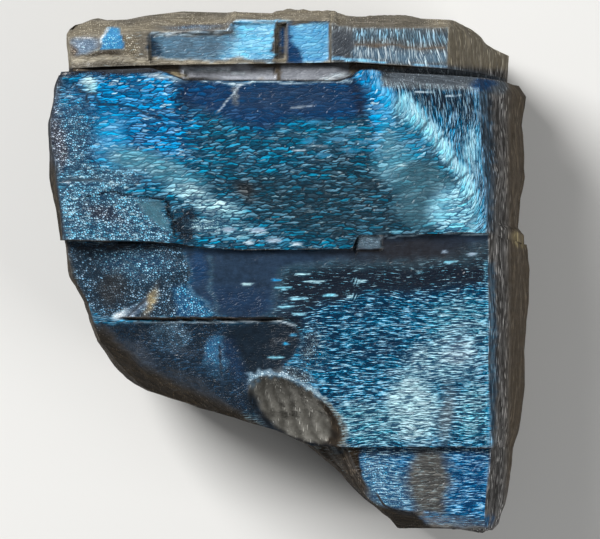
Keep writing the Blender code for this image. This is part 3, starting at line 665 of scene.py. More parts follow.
LOWER_PAINT = [
    patch("panel_navy", [(-14.4, 3.0), (8.1, 2.8), (8.1, 4.6), (25.2, 4.8), (25.2, -0.4), (18.7, -1.2),
        (11.2, -1.4), (6.8, -2.9), (3.9, -4.8), (-0.1, -6.4), (-9.3, -6.4), (-12.0, -2.9), (-13.6, 0.6)],
        1.6, flash=0.3, plain=0.93, rippled=0.0),
    patch("sparse", [(-1.0, -0.6), (5.0, 0.4), (12.0, 1.0), (20.0, 2.2), (25.2, 3.0), (25.2, -3.0),
        (9.0, -5.0), (3.0, -9.0), (-3.0, -6.2)], 2.4, flash=0.02, plain=0.1, rippled=1.0),
    bloom("panel_brown", (15.0, 2.4), (9.0, 1.8), 0, 2.4, flash=0.3, plain=0.9),
    bloom("deep_navy", (-6.0, -4.2), (5.6, 1.5), -4, 2.4, flash=0.3, plain=0.7, amount=0.7),
    bloom("navy", (-11.6, 0.2), (1.3, 2.0), 0, 1.6, flash=0.4, frost=0.3, plain=0.5, amount=0.6),
    band("frost", [(-9.8, 1.5), (-9.6, -2.0), (-9.2, -5.8)], 0.3, 0.6, flash=0.35, frost=1.0, plain=0.0,
        amount=0.3),
    patch("ripple", [(4.4, -4.4), (9.5, -2.8), (25.2, -1.6), (25.2, -22.4), (6.8, -22.2), (3.2, -19.4),
        (4.3, -13.8), (1.4, -9.9), (1.6, -6.4)], 2.0, flash=0.3, plain=0.0, rippled=0.85),
    patch("ripple", [(7.0, -7.4), (12.5, -5.4), (18.0, -4.2), (26.5, -3.4), (26.5, -23.4), (6.8, -23.4),
        (4.2, -17.4), (6.0, -12.8)], 3.0, flash=0.42),
    bloom("bright_ripple", (21.0, -6.8), (3.8, 3.6), 0, 3.0, flash=0.42, amount=0.8),
    bloom("ice", (18.4, -11.4), (5.6, 2.4), 8, 2.6, flash=0.4, amount=0.8),
    bloom("lavender", (20.8, -9.8), (2.2, 2.0), 30, 1.8, flash=0.6, amount=0.5),
    bloom("ripple", (11.0, -9.8), (3.6, 2.0), 0, 2.4, flash=0.3),
    bloom("ice", (15.2, -17.6), (3.4, 4.6), 10, 2.2, flash=0.53, plain=0.1),
    bloom("bright_ripple", (9.4, -19.4), (4.2, 2.6), -20, 2.0, flash=0.42),
    bloom("bright_ripple", (22.6, -17.6), (2.0, 4.0), 0, 1.6, flash=0.42),
    bloom("steel", (19.4, -18.2), (1.0, 3.6), 0, 1.2, flash=0.45, plain=0.3),
    patch("grey_frost", [(-29.0, 3.6), (-14.0, 3.2), (-13.6, 0.9), (-12.2, -2.7), (-9.7, -5.6),
        (-20.6, -6.0), (-24.4, -5.1), (-27.0, -1.9)], 0.5, flash=0.4, frost=0.95, plain=0.0, rippled=0.0),
    bloom("frost", (-19.5, 0.8), (4.4, 1.7), -8, 1.8, flash=0.42, frost=0.8),
    bloom("umber", (-22.2, -2.0), (1.7, 2.5), 0, 1.6, flash=0.2, frost=0.8, plain=0.3, amount=0.6),
    patch("speck_blue", [(-14.6, -1.8), (-12.3, -2.2), (-9.6, -5.9), (-13.9, -5.9)], 1.0, flash=0.5,
        frost=1.0, rippled=0.0),
    bloom("gold", (-17.4, -3.7), (0.8, 1.9), -24, 0.9, flash=0.6, plain=0.4),
    patch("lavender", [(-21.4, -5.7), (-18.5, -3.4), (-17.9, -4.4), (-19.8, -6.0)], 0.5, flash=0.6,
        frost=0.7, amount=0.8),
    # Painted highlight: a small bright white spot.
    bloom("white", (-21.2, -5.5), (0.8, 0.45), 20, 0.5, flash=0.9, plain=0.3),
    # Painted shadow: a dark slate band just under the upper block's lower edge.
    band("slate", [(-29.0, 3.2), (-20.0, 3.1), (-12.6, 2.7)], 0.5, 0.6, flash=0.5, frost=0.5),
    patch("dim_blue", [(-24.0, -6.4), (0.2, -6.7), (1.2, -9.0), (-0.7, -12.9), (-4.6, -13.2), (-4.0, -17.5),
        (-8.0, -18.4), (-19.0, -15.2), (-24.0, -10.0)], 0.5, flash=0.28, frost=0.6, plain=0.2, rippled=0.0),
    patch("dark_slate", [(-8.4, -6.6), (0.0, -6.7), (0.9, -9.0), (-0.9, -12.6), (-4.6, -13.0),
        (-8.2, -9.6)], 1.2, flash=0.2, frost=0.0, plain=0.9),
    band("deep_navy", [(-7.9, -9.6), (-6.8, -13.2), (-5.2, -16.0)], 0.8, 1.4, flash=0.35, frost=0.5,
        plain=0.3, amount=0.7),
    bloom("speck_blue", (-9.3, -10.9), (1.2, 2.6), 0, 0.9, flash=0.35, frost=1.0),
    bloom("grey_frost", (-15.1, -8.4), (2.4, 1.9), -12, 1.2, flash=0.5, frost=1.0),
    bloom("smoke", (-19.8, -11.6), (3.4, 2.4), -38, 1.4, flash=0.4, plain=0.5),
    bloom("ripple", (2.6, -10.2), (1.5, 3.2), -12, 2.0, flash=0.42, frost=0.8, amount=0.7),
    bloom("pepper", (2.2, -9.4), (0.9, 2.0), -12, 1.2, flash=0.2, frost=1.0, amount=0.5),
    bloom("pepper", (0.6, -13.4), (2.4, 0.8), -10, 0.9, flash=0.35, frost=1.0, amount=0.7),
    band("bright_ripple", [(24.6, 0.9), (24.8, -3.8), (24.4, -8.8), (24.7, -13.8), (24.5, -18.8),
        (24.7, -22.2)], 0.15, 0.5, flash=0.7, amount=0.6),
    # Painted highlight: a pale line along the lower block's top edge.
    band("whitish", [(8.2, 4.35), (24.6, 4.5)], 0.1, 0.2, flash=0.5),
    patch("steel", [(7.9, 4.5), (11.3, 4.6), (11.3, 2.5), (8.3, 2.4)], 0.3, flash=0.5, frost=0.4,
        plain=0.4),
]
FOOT_PAINT = [
    bloom("speck_blue", (11.4, -27.2), (3.2, 4.2), 20, 2.0, flash=0.46, frost=0.6),
    bloom("foot_grey", (17.4, -26.8), (2.9, 5.4), 0, 2.0, flash=0.42, plain=0.35, rippled=0.3),
    bloom("azure", (22.6, -26.6), (1.8, 4.6), 0, 1.4, flash=0.37),
    band("slate", [(8.0, -22.6), (25.6, -22.6)], 0.7, 1.0, flash=0.4, frost=0.6, amount=0.7),
    patch("dark_smoke", [(2.0, -22.0), (8.9, -22.0), (9.0, -28.4), (12.0, -32.4), (3.0, -32.0)], 0.5,
        flash=0.25, frost=0.0, plain=0.6),
    patch("smoke", [(9.0, -30.0), (12.7, -30.2), (18.7, -30.9), (25.6, -31.6), (27.0, -33.4), (9.0, -33.4)],
        0.5, flash=0.5, plain=0.4),
]
SLAB_PAINT = [
    patch("slab_stone", [(-29.4, 25.4), (-18.0, 25.6), (-18.0, 32.0), (-29.4, 32.0)], 0.5, flash=0.5,
        frost=0.5),
    bloom("lavender", (-26.0, 28.2), (1.9, 1.0), 14, 0.9, flash=0.6, frost=0.7),
    patch("sky", [(-22.9, 30.3), (-21.6, 30.2), (-20.9, 27.8), (-24.0, 27.6), (-23.6, 28.6)], 0.3,
        flash=0.6, frost=0.5, plain=0.3),
    band("white", [(-22.9, 30.3), (-23.7, 28.4)], 0.15, 0.25, flash=0.9, plain=0.5),
    bloom("smoke", (-28.0, 27.2), (1.4, 1.2), 0, 0.9, flash=0.5, frost=0.9),
    bloom("dark_smoke", (-23.4, 26.8), (2.6, 0.5), 4, 0.5, flash=0.5, frost=0.8),
    bloom("beige", (-20.0, 28.3), (1.2, 1.6), 0, 0.8, flash=0.5, frost=0.7, plain=0.1),
    patch("slab_stone", [(-17.8, 29.6), (-6.8, 29.6), (-6.6, 33.2), (-17.8, 33.2)], 0.4, flash=0.5,
        plain=0.4),
    patch("dull_blue", [(-17.6, 26.3), (-7.6, 26.3), (-7.6, 29.7), (-17.6, 29.7)], 0.5, flash=0.6,
        plain=0.6),
    bloom("slate", (-17.2, 28.0), (0.7, 1.7), 0, 0.6, flash=0.6, plain=0.6),
    patch("sky", [(-8.8, 25.0), (-1.0, 25.0), (-1.0, 32.4), (-6.4, 32.4)], 2.6, flash=0.85, plain=0.45),
    band("beige", [(-28.0, 26.3), (-20.0, 26.6), (-15.0, 25.9), (-2.0, 25.95), (5.0, 26.0)], 0.4, 0.5,
        flash=0.5, frost=0.0, plain=0.7),
    # Painted highlights: pale lines along the long panel's top and bottom edges.
    band("whitish", [(-17.4, 29.9), (-8.2, 30.0), (-7.2, 31.1), (-2.2, 31.1)], 0.12, 0.2, flash=0.8,
        plain=0.6, amount=0.8),
    band("whitish", [(-17.2, 26.4), (-2.2, 26.45)], 0.1, 0.18, flash=0.8, plain=0.6, amount=0.7),
    patch("groove_brown", [(-2.0, 26.2), (-0.4, 26.2), (-0.6, 31.0), (-2.0, 31.0)], 0.25, flash=0.6,
        plain=0.8),
    patch("sky", [(-0.5, 26.2), (5.0, 26.2), (5.0, 31.0), (-0.5, 31.0)], 0.3, flash=0.52, plain=0.5),
    patch("navy", [(-0.9, 31.2), (0.0, 31.2), (1.5, 26.0), (-0.9, 26.0)], 0.7, flash=0.3, plain=0.7),
    patch("slab_streak", [(5.1, 25.6), (20.0, 25.0), (20.4, 31.0), (5.1, 31.2)], 0.3, flash=0.55,
        plain=0.0),
    bloom("grey", (6.6, 28.4), (1.8, 2.2), 0, 1.2, flash=0.25, plain=0.6),
    band("steel_streak", [(8.6, 29.4), (19.8, 29.2)], 0.7, 0.9, flash=0.6, plain=0.0, amount=0.7),
    band("whitish", [(8.6, 27.0), (19.8, 26.7)], 0.7, 0.9, flash=0.55, plain=0.0, amount=0.6),
    band("smoke", [(8.6, 28.0), (19.9, 27.9)], 0.18, 0.25, flash=0.5, plain=0.6),
    band("sky", [(5.2, 26.4), (12.0, 25.8), (20.0, 25.4)], 0.14, 0.25, flash=0.9, plain=0.6),
    patch("steel", [(20.1, 24.6), (22.0, 24.6), (22.0, 29.6), (20.3, 30.8)], 0.4, flash=0.6, plain=0.7),
]
STRIP_PAINT = [
    patch("strip_grey", [(-14.0, 23.4), (-2.0, 23.4), (-2.0, 25.7), (-14.0, 25.7)], 0.3, flash=0.65,
        plain=0.85),
    # Painted highlight: a white line along the strip panel's top edge.
    band("white", [(-13.4, 25.05), (-2.2, 25.1)], 0.1, 0.16, flash=0.9, plain=0.5),
    band("gold", [(-15.2, 24.6), (-13.2, 23.9), (6.0, 23.8), (8.4, 25.0)], 0.14, 0.2, flash=0.6, plain=0.6),
    patch("strip_grey", [(-1.4, 23.4), (7.4, 23.8), (7.4, 25.9), (-1.4, 25.9)], 0.3, flash=0.4, plain=0.85),
    # Painted highlight: a white line along the upper block's top edge under the strip.
    band("white", [(2.2, 23.8), (7.6, 24.4)], 0.2, 0.3, flash=0.8, plain=0.5),
]

# What shows on the broken edges and sides near the face, painted last, in the same way.
EDGE_PAINT = [
    patch("shoulder", [(11.3, 25.3), (20.6, 25.5), (27.6, 24.4), (27.2, 22.2), (19.0, 22.4), (11.6, 22.9)],
        0.6, flash=0.5, frost=0.6, plain=0.2),
    bloom("navy", (24.2, 23.2), (1.7, 0.9), 20, 0.9, flash=0.8),
    patch("streak_blue", [(23.4, 4.8), (25.4, 4.8), (25.6, 14.0), (25.0, 22.4), (23.0, 22.2)], 1.2,
        flash=0.6, plain=0.0, rippled=0.4, amount=0.7),
    patch("ripple", [(24.6, -22.2), (25.6, -22.0), (25.8, -8.0), (25.6, 0.8), (24.8, 0.8)], 0.8, flash=0.6,
        plain=0.1, amount=0.6),
    patch("dim_blue", [(-23.6, -7.4), (-16.0, -8.0), (1.0, -17.4), (2.6, -20.6), (-4.0, -18.4),
        (-13.0, -15.4), (-20.0, -12.6)], 2.4, flash=0.4, frost=0.5, amount=0.8),
    patch("umber", [(-26.6, -6.4), (-23.6, -7.6), (-18.4, -12.4), (-12.4, -15.2), (-4.0, -18.8),
        (1.0, -21.0), (6.4, -22.0), (2.0, -23.0), (-8.0, -21.0), (-24.0, -15.0), (-28.0, -8.0)], 1.4,
        flash=0.45, plain=0.2),
    bloom("azure", (-12.4, 30.9), (3.4, 0.7), 0, 1.2, flash=0.5, frost=0.9, plain=0.0, amount=0.6,
        above=19.4),
    bloom("gold", (29.3, 3.9), (1.3, 1.2), 0, 0.8, flash=0.7, plain=0.4),
    patch("sky", [(-23.0, 30.6), (-21.7, 30.5), (-20.9, 27.8), (-24.0, 27.6), (-23.5, 28.8)], 0.4,
        flash=0.55, frost=0.8, plain=0.0, above=19.0),
    band("white", [(-23.0, 30.5), (-23.8, 28.5)], 0.15, 0.25, flash=0.9, plain=0.5, above=19.0),
    band("plum", [(-29.4, 23.6), (-30.2, 18.3), (-30.0, 14.4)], 0.8, 0.9, flash=0.55, frost=0.9, plain=0.0,
        amount=0.8),
    band("umber", [(-30.2, 13.0), (-29.7, 8.0), (-29.0, 3.8), (-27.6, -0.8), (-25.4, -6.2)], 0.5, 0.8,
        flash=0.6, plain=0.1),
    band("azure", [(17.0, -31.2), (25.2, -31.6)], 0.7, 0.7, flash=0.45, frost=0.0, plain=0.0, amount=0.9,
        above=16.0),
    band("umber", [(10.6, -29.8), (13.2, -31.2), (16.4, -31.8)], 0.6, 0.9, flash=0.5, frost=0.5, plain=0.2),
    # Painted highlight: a bright blue spot on the bulge of the upper block's top edge.
    bloom("azure", (9.8, 24.2), (1.5, 0.8), 10, 0.7, flash=0.85, plain=0.2),
]

# Where the etched face gives way to the finish of the sides: how far up it faces, from -1 to 1, and how
# softly. A level ledge on an end of the stone is all side under ETCHED_FROM. EDGE_PAINT shows on what faces
# up further.
ETCHED_FACING, ETCHED_SOFT = 0.66, 0.25
ETCHED_FROM = 15.0
EDGE_FACING, EDGE_SOFT = 0.2, 0.2

# The part of the foot's bevel that is etched as the face is, though it is steep.
ETCHED_BEVEL = patch(None, [(15.6, -30.4), (25.6, -31.0), (25.8, -32.5), (17.8, -32.5)], 0.8)

# Each layer's base finish and paint, from the foot up.
FACE_BASES = [
    ("azure", {"flash": 0.5, "rippled": 0.7}, FOOT_PAINT),
    ("ripple", {"flash": 0.55, "rippled": 0.3}, LOWER_PAINT),
    ("teal", {"flash": 0.6}, UPPER_PAINT),
    ("taupe", {"flash": 0.45, "plain": 0.6}, STRIP_PAINT),
    ("slab_stone", {"flash": 0.5, "plain": 0.4}, SLAB_PAINT),
]

# Fine cracks and scratches on the etched face, as lines of (X, Y) points.
BROWN_CRACKS = [
    (0.9, [(-27.1, 23.2), (-26.1, 22.1), (-24.4, 21.9), (-23.9, 20.6), (-20.4, 20.4), (-16.1, 18.8)]),
    (0.9, [(-25.4, 21.7), (-25.4, 20.8)]), (0.7, [(-28.8, 11.1), (-23.7, 11.2)]),
    (0.5, [(2.4, 15.1), (4.8, 15.2)]), (0.5, [(-21.1, 1.3), (-19.6, 0.2), (-18.1, -1.2)]),
    (0.8, [(-20.3, -5.8), (-18.0, -3.6)]), (1.0, [(-8.9, -9.6), (-8.7, -12.4), (-8.5, -15.4)]),
    (0.4, [(13.4, 22.0), (13.3, 20.1), (13.4, 18.0)]), (0.6, [(17.2, 18.6), (16.0, 16.8)]),
    (0.6, [(19.0, 16.7), (17.8, 15.0)]), (0.6, [(20.6, 14.4), (19.4, 12.8)]),
    (0.6, [(22.0, 12.0), (20.6, 10.7)]), (0.6, [(22.9, 9.4), (21.4, 8.2)]),
    (0.5, [(23.4, 6.9), (22.0, 5.8)]),
]
WHITE_SCRATCHES = [
    [(-9.1, 19.6), (-6.1, 23.3)], [(0.1, 20.2), (2.6, 20.4)], [(2.1, 15.4), (4.7, 15.4)],
    [(0.2, 14.9), (1.9, 14.9)], [(15.7, 22.2), (17.8, 22.2)], [(19.4, 21.7), (21.3, 21.8)],
    [(-19.6, -6.65), (-16.8, -6.6), (-9.0, -6.6), (-3.0, -6.5), (-1.0, -6.5), (0.4, -7.0)],
]
CRACK_WIDTH, CRACK_SOFT = 0.15, 0.2
FINE_CRACK_DEPTH, FINE_CRACK_SOFT = 0.15, 0.25
FINE_CRACKS_FROM = FACE_HEIGHT - 6  # the least Z that they cut
SCRATCH_WIDTH, SCRATCH_SOFT = 0.08, 0.2

# Single pits on the smooth panel, and large plates on the upper face: X, Y, half length, half width, tone.
LONE_PITS = [
    (-5.4, -1.8, 0.9, 0.17, "ice"), (-0.8, -2.3, 1.4, 0.17, "bright_ripple"), (1.6, -0.6, 1.2, 0.17, "ice"),
    (3.2, -1.5, 1.6, 0.17, "ice"), (-1.8, -1.3, 0.8, 0.17, "azure"),
    (0.9, -3.6, 1.6, 0.17, "bright_ripple"), (-0.6, -4.7, 1.3, 0.17, "bright_ripple"),
    (1.1, -5.6, 1.2, 0.17, "bright_ripple"), (8.6, -1.5, 1.3, 0.17, "ice"), (7.8, -3.4, 0.9, 0.17, "ice"),
    (4.9, -3.2, 1.1, 0.17, "bright_ripple"), (20.0, 0.9, 1.0, 0.17, "bright_ripple"),
    (22.6, 1.9, 0.8, 0.17, "lavender"), (19.2, 2.2, 0.6, 0.17, "lavender"),
    (-1.8, -11.0, 1.1, 0.17, "bright_ripple"), (0.4, -8.2, 0.6, 0.17, "ripple"),
    (-0.6, -9.3, 0.5, 0.17, "ripple"), (2.2, -7.7, 0.7, 0.17, "ripple"), (-7.7, 5.0, 1.1, 0.34, "lavender"),
    (-4.1, 4.9, 1.2, 0.36, "lavender"), (-6.1, 4.0, 1.0, 0.28, "pale_teal"),
    (-2.0, 3.6, 1.1, 0.3, "lavender"), (-5.2, 3.3, 0.8, 0.26, "whitish"), (0.9, 3.2, 0.9, 0.26, "whitish"),
    (3.1, 18.4, 1.3, 0.34, "plate"), (7.2, 17.3, 1.9, 0.42, "plate"), (5.9, 16.3, 1.6, 0.3, "plate"),
    (9.4, 16.0, 1.1, 0.34, "plate"), (2.2, 16.1, 1.1, 0.42, "plate"), (4.2, 14.3, 1.4, 0.34, "plate"),
    (7.7, 14.9, 1.5, 0.4, "plate"), (-1.0, 17.3, 0.9, 0.26, "teal"), (13.9, 13.0, 0.7, 0.17, "ice"),
    (13.2, 4.7, 0.9, 0.22, "pale_teal"),
]


def linear(code):
    """Linear values of an sRGB hex code: v / 12.92 where v is small, else ((v + 0.055) / 1.055) ^ 2.4."""
    value = np.array([int(code[i : i + 2], 16) for i in (1, 3, 5)]) / 255
    return np.where(value <= 0.04045, value / 12.92, ((value + 0.055) / 1.055) ** 2.4)


SETTINGS = ("flash", "frost", "plain", "rippled")
COLOURS = ("shade", "sheen")


def colours(tone):
    """A tone's shade and sheen as linear colours."""
    return {name: linear(code) for name, code in zip(COLOURS, TONES[tone])}


class Looks:
    """What the material reads at each point of the skin: two colours, and the settings of its patterns."""

    def __init__(self, shape, tone, **settings):
        self.values = {name: np.full(shape, settings.get(name, 0.0)) for name in SETTINGS}
        for name, colour in colours(tone).items():
            self.values[name] = np.broadcast_to(colour, (*shape, 3))

    def blend(self, amount, values):
        """Blends other values over these, by an amount from 0 to 1 at each point; those not given stay."""
        for name, value in values.items():
            share = amount[..., None] if name in COLOURS else amount
            self.values[name] = between(self.values[name], value, share)

    def paint(self, amount, tone, **settings):
        """Blends a tone over this finish, and each setting given with it."""
        self.blend(amount, {**colours(tone), **settings})


def wandering(points, kinds):
    """X and Y pushed about by smooth lumps, so that no painted edge runs straight."""
    x, y = points[..., 0], points[..., 1]
    for kind in kinds:
        x = x + lumps(points, kind)
        y = y + lumps(points, {**kind, "seed": kind["seed"] + 1}) * 0.7
    return x, y


def lay_rows(looks, rows, x, y, z, where):
    """Paints each row in turn: where it may show, times its cover, its own amount, and a smooth step in Z."""
    for row in rows:
        amount = where * cover(x, y, row) * row.get("amount", 1)
        if "above" in row:
            amount = amount * ease(z - row["above"], ABOVE_SOFT)
        looks.paint(amount, row["tone"], **{name: row[name] for name in SETTINGS if name in row})


def face_looks(points, starts):
    """The etched face's finish: each layer's base and rows of paint, single pits as lenses between two
    parabolas, then cracks and scratches, stronger and fainter by smooth lumps along their lines."""
    x, y = wandering(points, [TONE_WANDER, TONE_FRAY])
    fray_x, fray_y = wandering(points, [PIT_FRAY])
    looks = Looks(x.shape, "teal", flash=0.6)
    ring = np.arange(len(x))[:, None] + np.zeros(x.shape, int)
    for (base, settings, rows), start, stop in zip(FACE_BASES, starts, [*starts[1:], len(x)]):
        here = ((ring >= start - LEDGE_RINGS) & (ring < stop - LEDGE_RINGS)).astype(float)
        looks.paint(here, base, **settings)
        lay_rows(looks, rows, x, y, points[..., 2], here)
    for middle_x, middle_y, half_length, half_width, tone in LONE_PITS:
        lens = 1 - ((fray_x - middle_x) / half_length) ** 2 - np.abs(fray_y - middle_y) / half_width
        looks.paint(ease(lens - 0.1, 0.9), tone, flash=0.9, plain=0.6, frost=0.0, rippled=0.0)
    ragged = 0.5 + 0.5 * np.clip(lumps(points, CRACK_GAPS), -1, 1)
    for strength, line in BROWN_CRACKS:
        reach = CRACK_WIDTH - from_line(fray_x, fray_y, line)
        dark = ease(reach, CRACK_SOFT) * strength * (0.8 + 0.2 * ragged)
        looks.paint(dark, "crack", flash=0.0, plain=1.0, frost=0.0, rippled=0.0)
    for line in WHITE_SCRATCHES:
        reach = SCRATCH_WIDTH - from_line(fray_x, fray_y, line)
        looks.paint(ease(reach, SCRATCH_SOFT) * (0.4 + 0.6 * ragged), "white", flash=0.9, plain=0.7)
    return looks


def chip_shown(x, y, z):
    """1 on the chip's own surface and its rim, and 0 on the side under it, which its outline also covers: a
    smooth step in the place's height over the chip's floor, or over a level 2 mm under the face where that
    is lower."""
    floor = np.minimum(chip_floor(x, y), LOWER_HEIGHT - 2)
    return ease(z - floor + 1, 1.2)


def chip_looks(points, looks):
    """Paints the chip by (u, v), the place from its middle as shares of its half sizes: grey ribs in its
    floor, lighter and darker in step with their relief and lighter towards the upper edge, which is painted
    light and shade, a pale splintered rim above it, and darker crescents inside its right and lower edges."""
    x, y = points[..., 0], points[..., 1]
    dx, dy = x - CHIP_MIDDLE[0], y - CHIP_MIDDLE[1]
    depth = LOWER_HEIGHT - chip_floor(x, y)
    shown = chip_shown(x, y, points[..., 2])
    u, v = (way / half for way, half in zip(chip_place(dx, dy), CHIP_HALF_SIZES))
    edge = np.hypot(u, v) + lumps(points, CHIP_SPLINTERS)
    # Painted light and shade: the ribs' flash rises and falls with their relief and grows towards the upper
    # edge.
    ribs = 0.42 + 0.26 * np.sin(rib_turn(dx, dy)) + 0.14 * ease(v - 0.35, 0.5)
    looks.paint(ease(depth, 0.12) * shown, "chip_grey", frost=0.0, plain=0.7, flash=ribs)
    splinters = ease(0.08 - np.abs(edge - 1.0), 0.12) * ease(v + 0.25 + 0.2 * u, 0.5)
    looks.paint(splinters * shown, "whitish", flash=0.7, frost=0.8, plain=0.1)
    looks.paint(ease(0.16 - np.abs(edge - 0.93), 0.12) * ease(u - 0.25, 0.4) * shown, "dark_smoke", plain=0.5)
    looks.paint(ease(0.16 - np.abs(edge - 0.97), 0.2) * ease(-v - 0.3, 0.4) * shown, "dark_slate", plain=0.5)


# Where the finishes of the sides lie: slate on the left, but under SLATE_LOW_Y only on what faces down;
# dashes and taupe on the right; smoky brown free of patches at the low left; and the slab's own stone.
SLATE_TO_X, SLATE_LOW_Y, SLATE_SOFT = -12, 13, 8
RIGHT_FROM_X, DASHES_TO_X, TAUPE_FROM_X = 20, 28.4, 27.4
LOW_LEFT_X, LOW_LEFT_Y = 6, -6
SLAB_FROM_Y = 25.6


def side_looks(points, run, flatness):
    """The finish of sides, ends and back. Smooth steps in X, Y and the way they face lay slate on the left,
    pale dashes and taupe on the right and grey-beige on the slab over smoky brown, with smooth lumps for
    patches."""
    x, y = points[..., 0], points[..., 1]
    looks = Looks(x.shape, "smoke", flash=0.42, plain=0.1)
    patches = lumps(points, SIDE_PATCHES)
    looks.paint(ease(patches, 0.8) * 0.6, "umber", flash=0.45)
    looks.paint(ease(-patches - 0.3, 0.6), "dark_smoke", flash=0.35)
    upper = ease(flatness + 0.1, 0.3)
    left = ease(SLATE_TO_X - x, SLATE_SOFT) * (1 - upper * ease(SLATE_LOW_Y - y, 4))
    looks.paint(left * 0.6, "slate", flash=0.45, frost=0.4)
    right = ease(x - RIGHT_FROM_X, 3) * upper
    looks.paint(right * ease(DASHES_TO_X - x, 1.4), "dashes", flash=0.56, plain=0.0)
    looks.paint(right * ease(x - TAUPE_FROM_X, 1.4), "taupe", flash=0.4, plain=0.6)
    blue = ease(lumps(points, BLUE_PATCHES) - 0.35, 0.5) * 0.5 * (1 - ease(x - 22, 3) * upper)
    looks.paint(blue, "dim_blue", flash=0.6, plain=0.1)
    looks.paint(ease(LOW_LEFT_Y - y, 3) * ease(LOW_LEFT_X - x, 8) * 0.7, "smoke", flash=0.5, plain=0.5)
    slab = ease(y - SLAB_FROM_Y, 1.0)
    looks.paint(slab, "slab_stone", flash=0.6, plain=0.4)
    looks.paint(slab * ease(patches - 0.1, 0.6), "beige", plain=0.3)
    looks.paint((run == BACK) * ease(-flatness - 0.5, 0.3), "back_grey", flash=0.45, frost=0.35, plain=0.3)
    return looks


def grain(points):
    """Where the etch grain puts each point: how far along the pits, and how far across them, in
    millimetres.

    Pits lie along X on most of the face, so they are at (X, -Y) there. Past the bowed line of the turned
    plane both get GRAIN_TURN times the distance past it, which turns the pits to run along Y. Smooth waves
    bend the rows."""
    x, y = points[..., 0], points[..., 1]
    past = GRAIN_TURN * beyond(turned_distance(x, y), GRAIN_TURN_ROUND) * (y > along(LOWER_TOP, x))
    wave = lumps(points, GRAIN_WAVES) + lumps(points, GRAIN_BENDS)
    return np.stack([x + past, past - y + wave, np.zeros(x.shape)], axis=-1)


# Places on the baked map's sheet: each run's strip as (left, right, low, high), and the two ends' rectangles.
STRIPS = {
    (0,): (0.004, 0.700, 0.004, 0.745), (1, 2): (0.708, 0.852, 0.004, 0.745),
    (4, 5): (0.860, 0.996, 0.004, 0.745), (3,): (0.004, 0.700, 0.755, 0.996),
}
END_CORNERS = ((0.708, 0.76), (0.858, 0.76))
END_SHEET = (0.135, 0.105)
LEAST_HEIGHT = 0.05  # of a row of quads on the sheet, before the sheet is fitted


def unrolled(rings):
    """Where the grid's lines stand on the baked map's sheet before they are fitted into strips: U, the mean
    length round the ring up to each column, and V, the mean length from ring to ring up to each row as a
    share of all."""
    closed = np.concatenate([rings, rings[:, :1]], axis=1)
    width = np.linalg.norm(np.diff(closed, axis=1), axis=-1).mean(axis=0)
    height = np.linalg.norm(np.diff(rings, axis=0), axis=-1)[:, : RUN_COLUMNS[FACE]].mean(axis=1)
    u = np.concatenate([[0], np.cumsum(width)])
    v = np.concatenate([[0], np.cumsum(np.maximum(height, LEAST_HEIGHT))])
    return u, v / v[-1]


def loop_places(rings):
    """Each quad's four (U, V) corners, whole runs side by side: the face's strip is the widest, the two
    sides' strips share the rest, and the back's lies squeezed above the face's."""
    u, v = unrolled(rings)
    stops = np.concatenate([[0], np.cumsum(RUN_COLUMNS)])
    quad_u = np.stack([u[:-1], u[1:], u[1:], u[:-1]], axis=-1)
    quad_v = np.stack([v[:-1], v[:-1], v[1:], v[1:]], axis=-1)
    run = np.repeat(np.arange(6), RUN_COLUMNS)
    places = np.zeros((len(v) - 1, len(run), 4, 2))
    for runs, (left, right, low, high) in STRIPS.items():
        here = np.isin(run, runs)
        start, stop = u[stops[runs[0]]], u[stops[runs[-1] + 1]]
        places[..., 0][:, here] = between(left, right, (quad_u[here] - start) / (stop - start))
        places[..., 1][:, here] = between(low, high, quad_v)[:, None]
    return places


def end_places(points, rim, corner):
    """(U, V) of points on an end cap, flat on to X and Z: their way across its rim's spread, in a small
    rectangle of the sheet with this lowest corner."""
    low, high = rim.reshape(-1, 3).min(axis=0), rim.reshape(-1, 3).max(axis=0)
    return np.array(corner) + (points[..., [0, 2]] - low[[0, 2]]) / (high - low)[[0, 2]] * END_SHEET


SHARP_ANGLE = radians(50)  # between two faces that don't shade smoothly into each other


def skin_mesh(name, rings, attributes):
    """One closed mesh in metres: a quad between neighbours on two rings, and a flat face at each end. Each
    attribute goes with it, one value, way or colour for each point."""
    rows, columns = rings.shape[:2]
    index = np.arange(rows * columns).reshape(rows, columns)
    after = np.roll(index, -1, axis=1)
    quads = np.stack([index[:-1], after[:-1], after[1:], index[1:]], axis=-1)
    ends = [index[0][::-1], index[-1]]
    mesh = bpy.data.meshes.new(name)
    faces = [*quads.reshape(-1, 4).tolist(), *[end.tolist() for end in ends]]
    points = rings.reshape(-1, 3)
    mesh.from_pydata(points * MM, [], faces)

    places, end_uv, caps = loop_places(rings), [], len(CAP_SHARES)
    for end, strip, rim, corner in zip(ends, (slice(caps), slice(-caps, None)),
                                       (rings[: caps + 1], rings[-caps - 1 :]), END_CORNERS):
        places[strip] = end_places(points[quads[strip]], rim, corner)
        end_uv.append(end_places(points[end], rim, corner))
    sheet = mesh.uv_layers.new(name="OFBake")
    sheet.data.foreach_set("uv", np.concatenate([places.reshape(-1, 2), *end_uv]).ravel())

    for key, values in attributes.items():
        kind, field = ("FLOAT", "value") if values.ndim == 2 else ("FLOAT_VECTOR", "vector")
        if key in COLOURS:
            kind, field = "FLOAT_COLOR", "color"
            values = np.concatenate([values, np.ones((rows, columns, 1))], axis=-1)
        mesh.attributes.new(key, kind, "POINT").data.foreach_set(field, values.ravel())
    mesh.update()
    mesh.shade_smooth()
    mesh.set_sharp_from_angle(angle=SHARP_ANGLE)
    return mesh


def add(tree, kind, inputs=None, **settings):
    """Adds a node with its settings. Each input, by name or number, is a value, an output, or a node that
    stands for its first output."""
    node = tree.nodes.new("ShaderNode" + kind)
    for name, value in settings.items():
        setattr(node, name, value)
    for name, value in (inputs or {}).items():
        if isinstance(value, bpy.types.Node):
            value = value.outputs[0]
        if isinstance(value, bpy.types.NodeSocket):
            tree.links.new(value, node.inputs[name])
        else:
            node.inputs[name].default_value = value
    return node


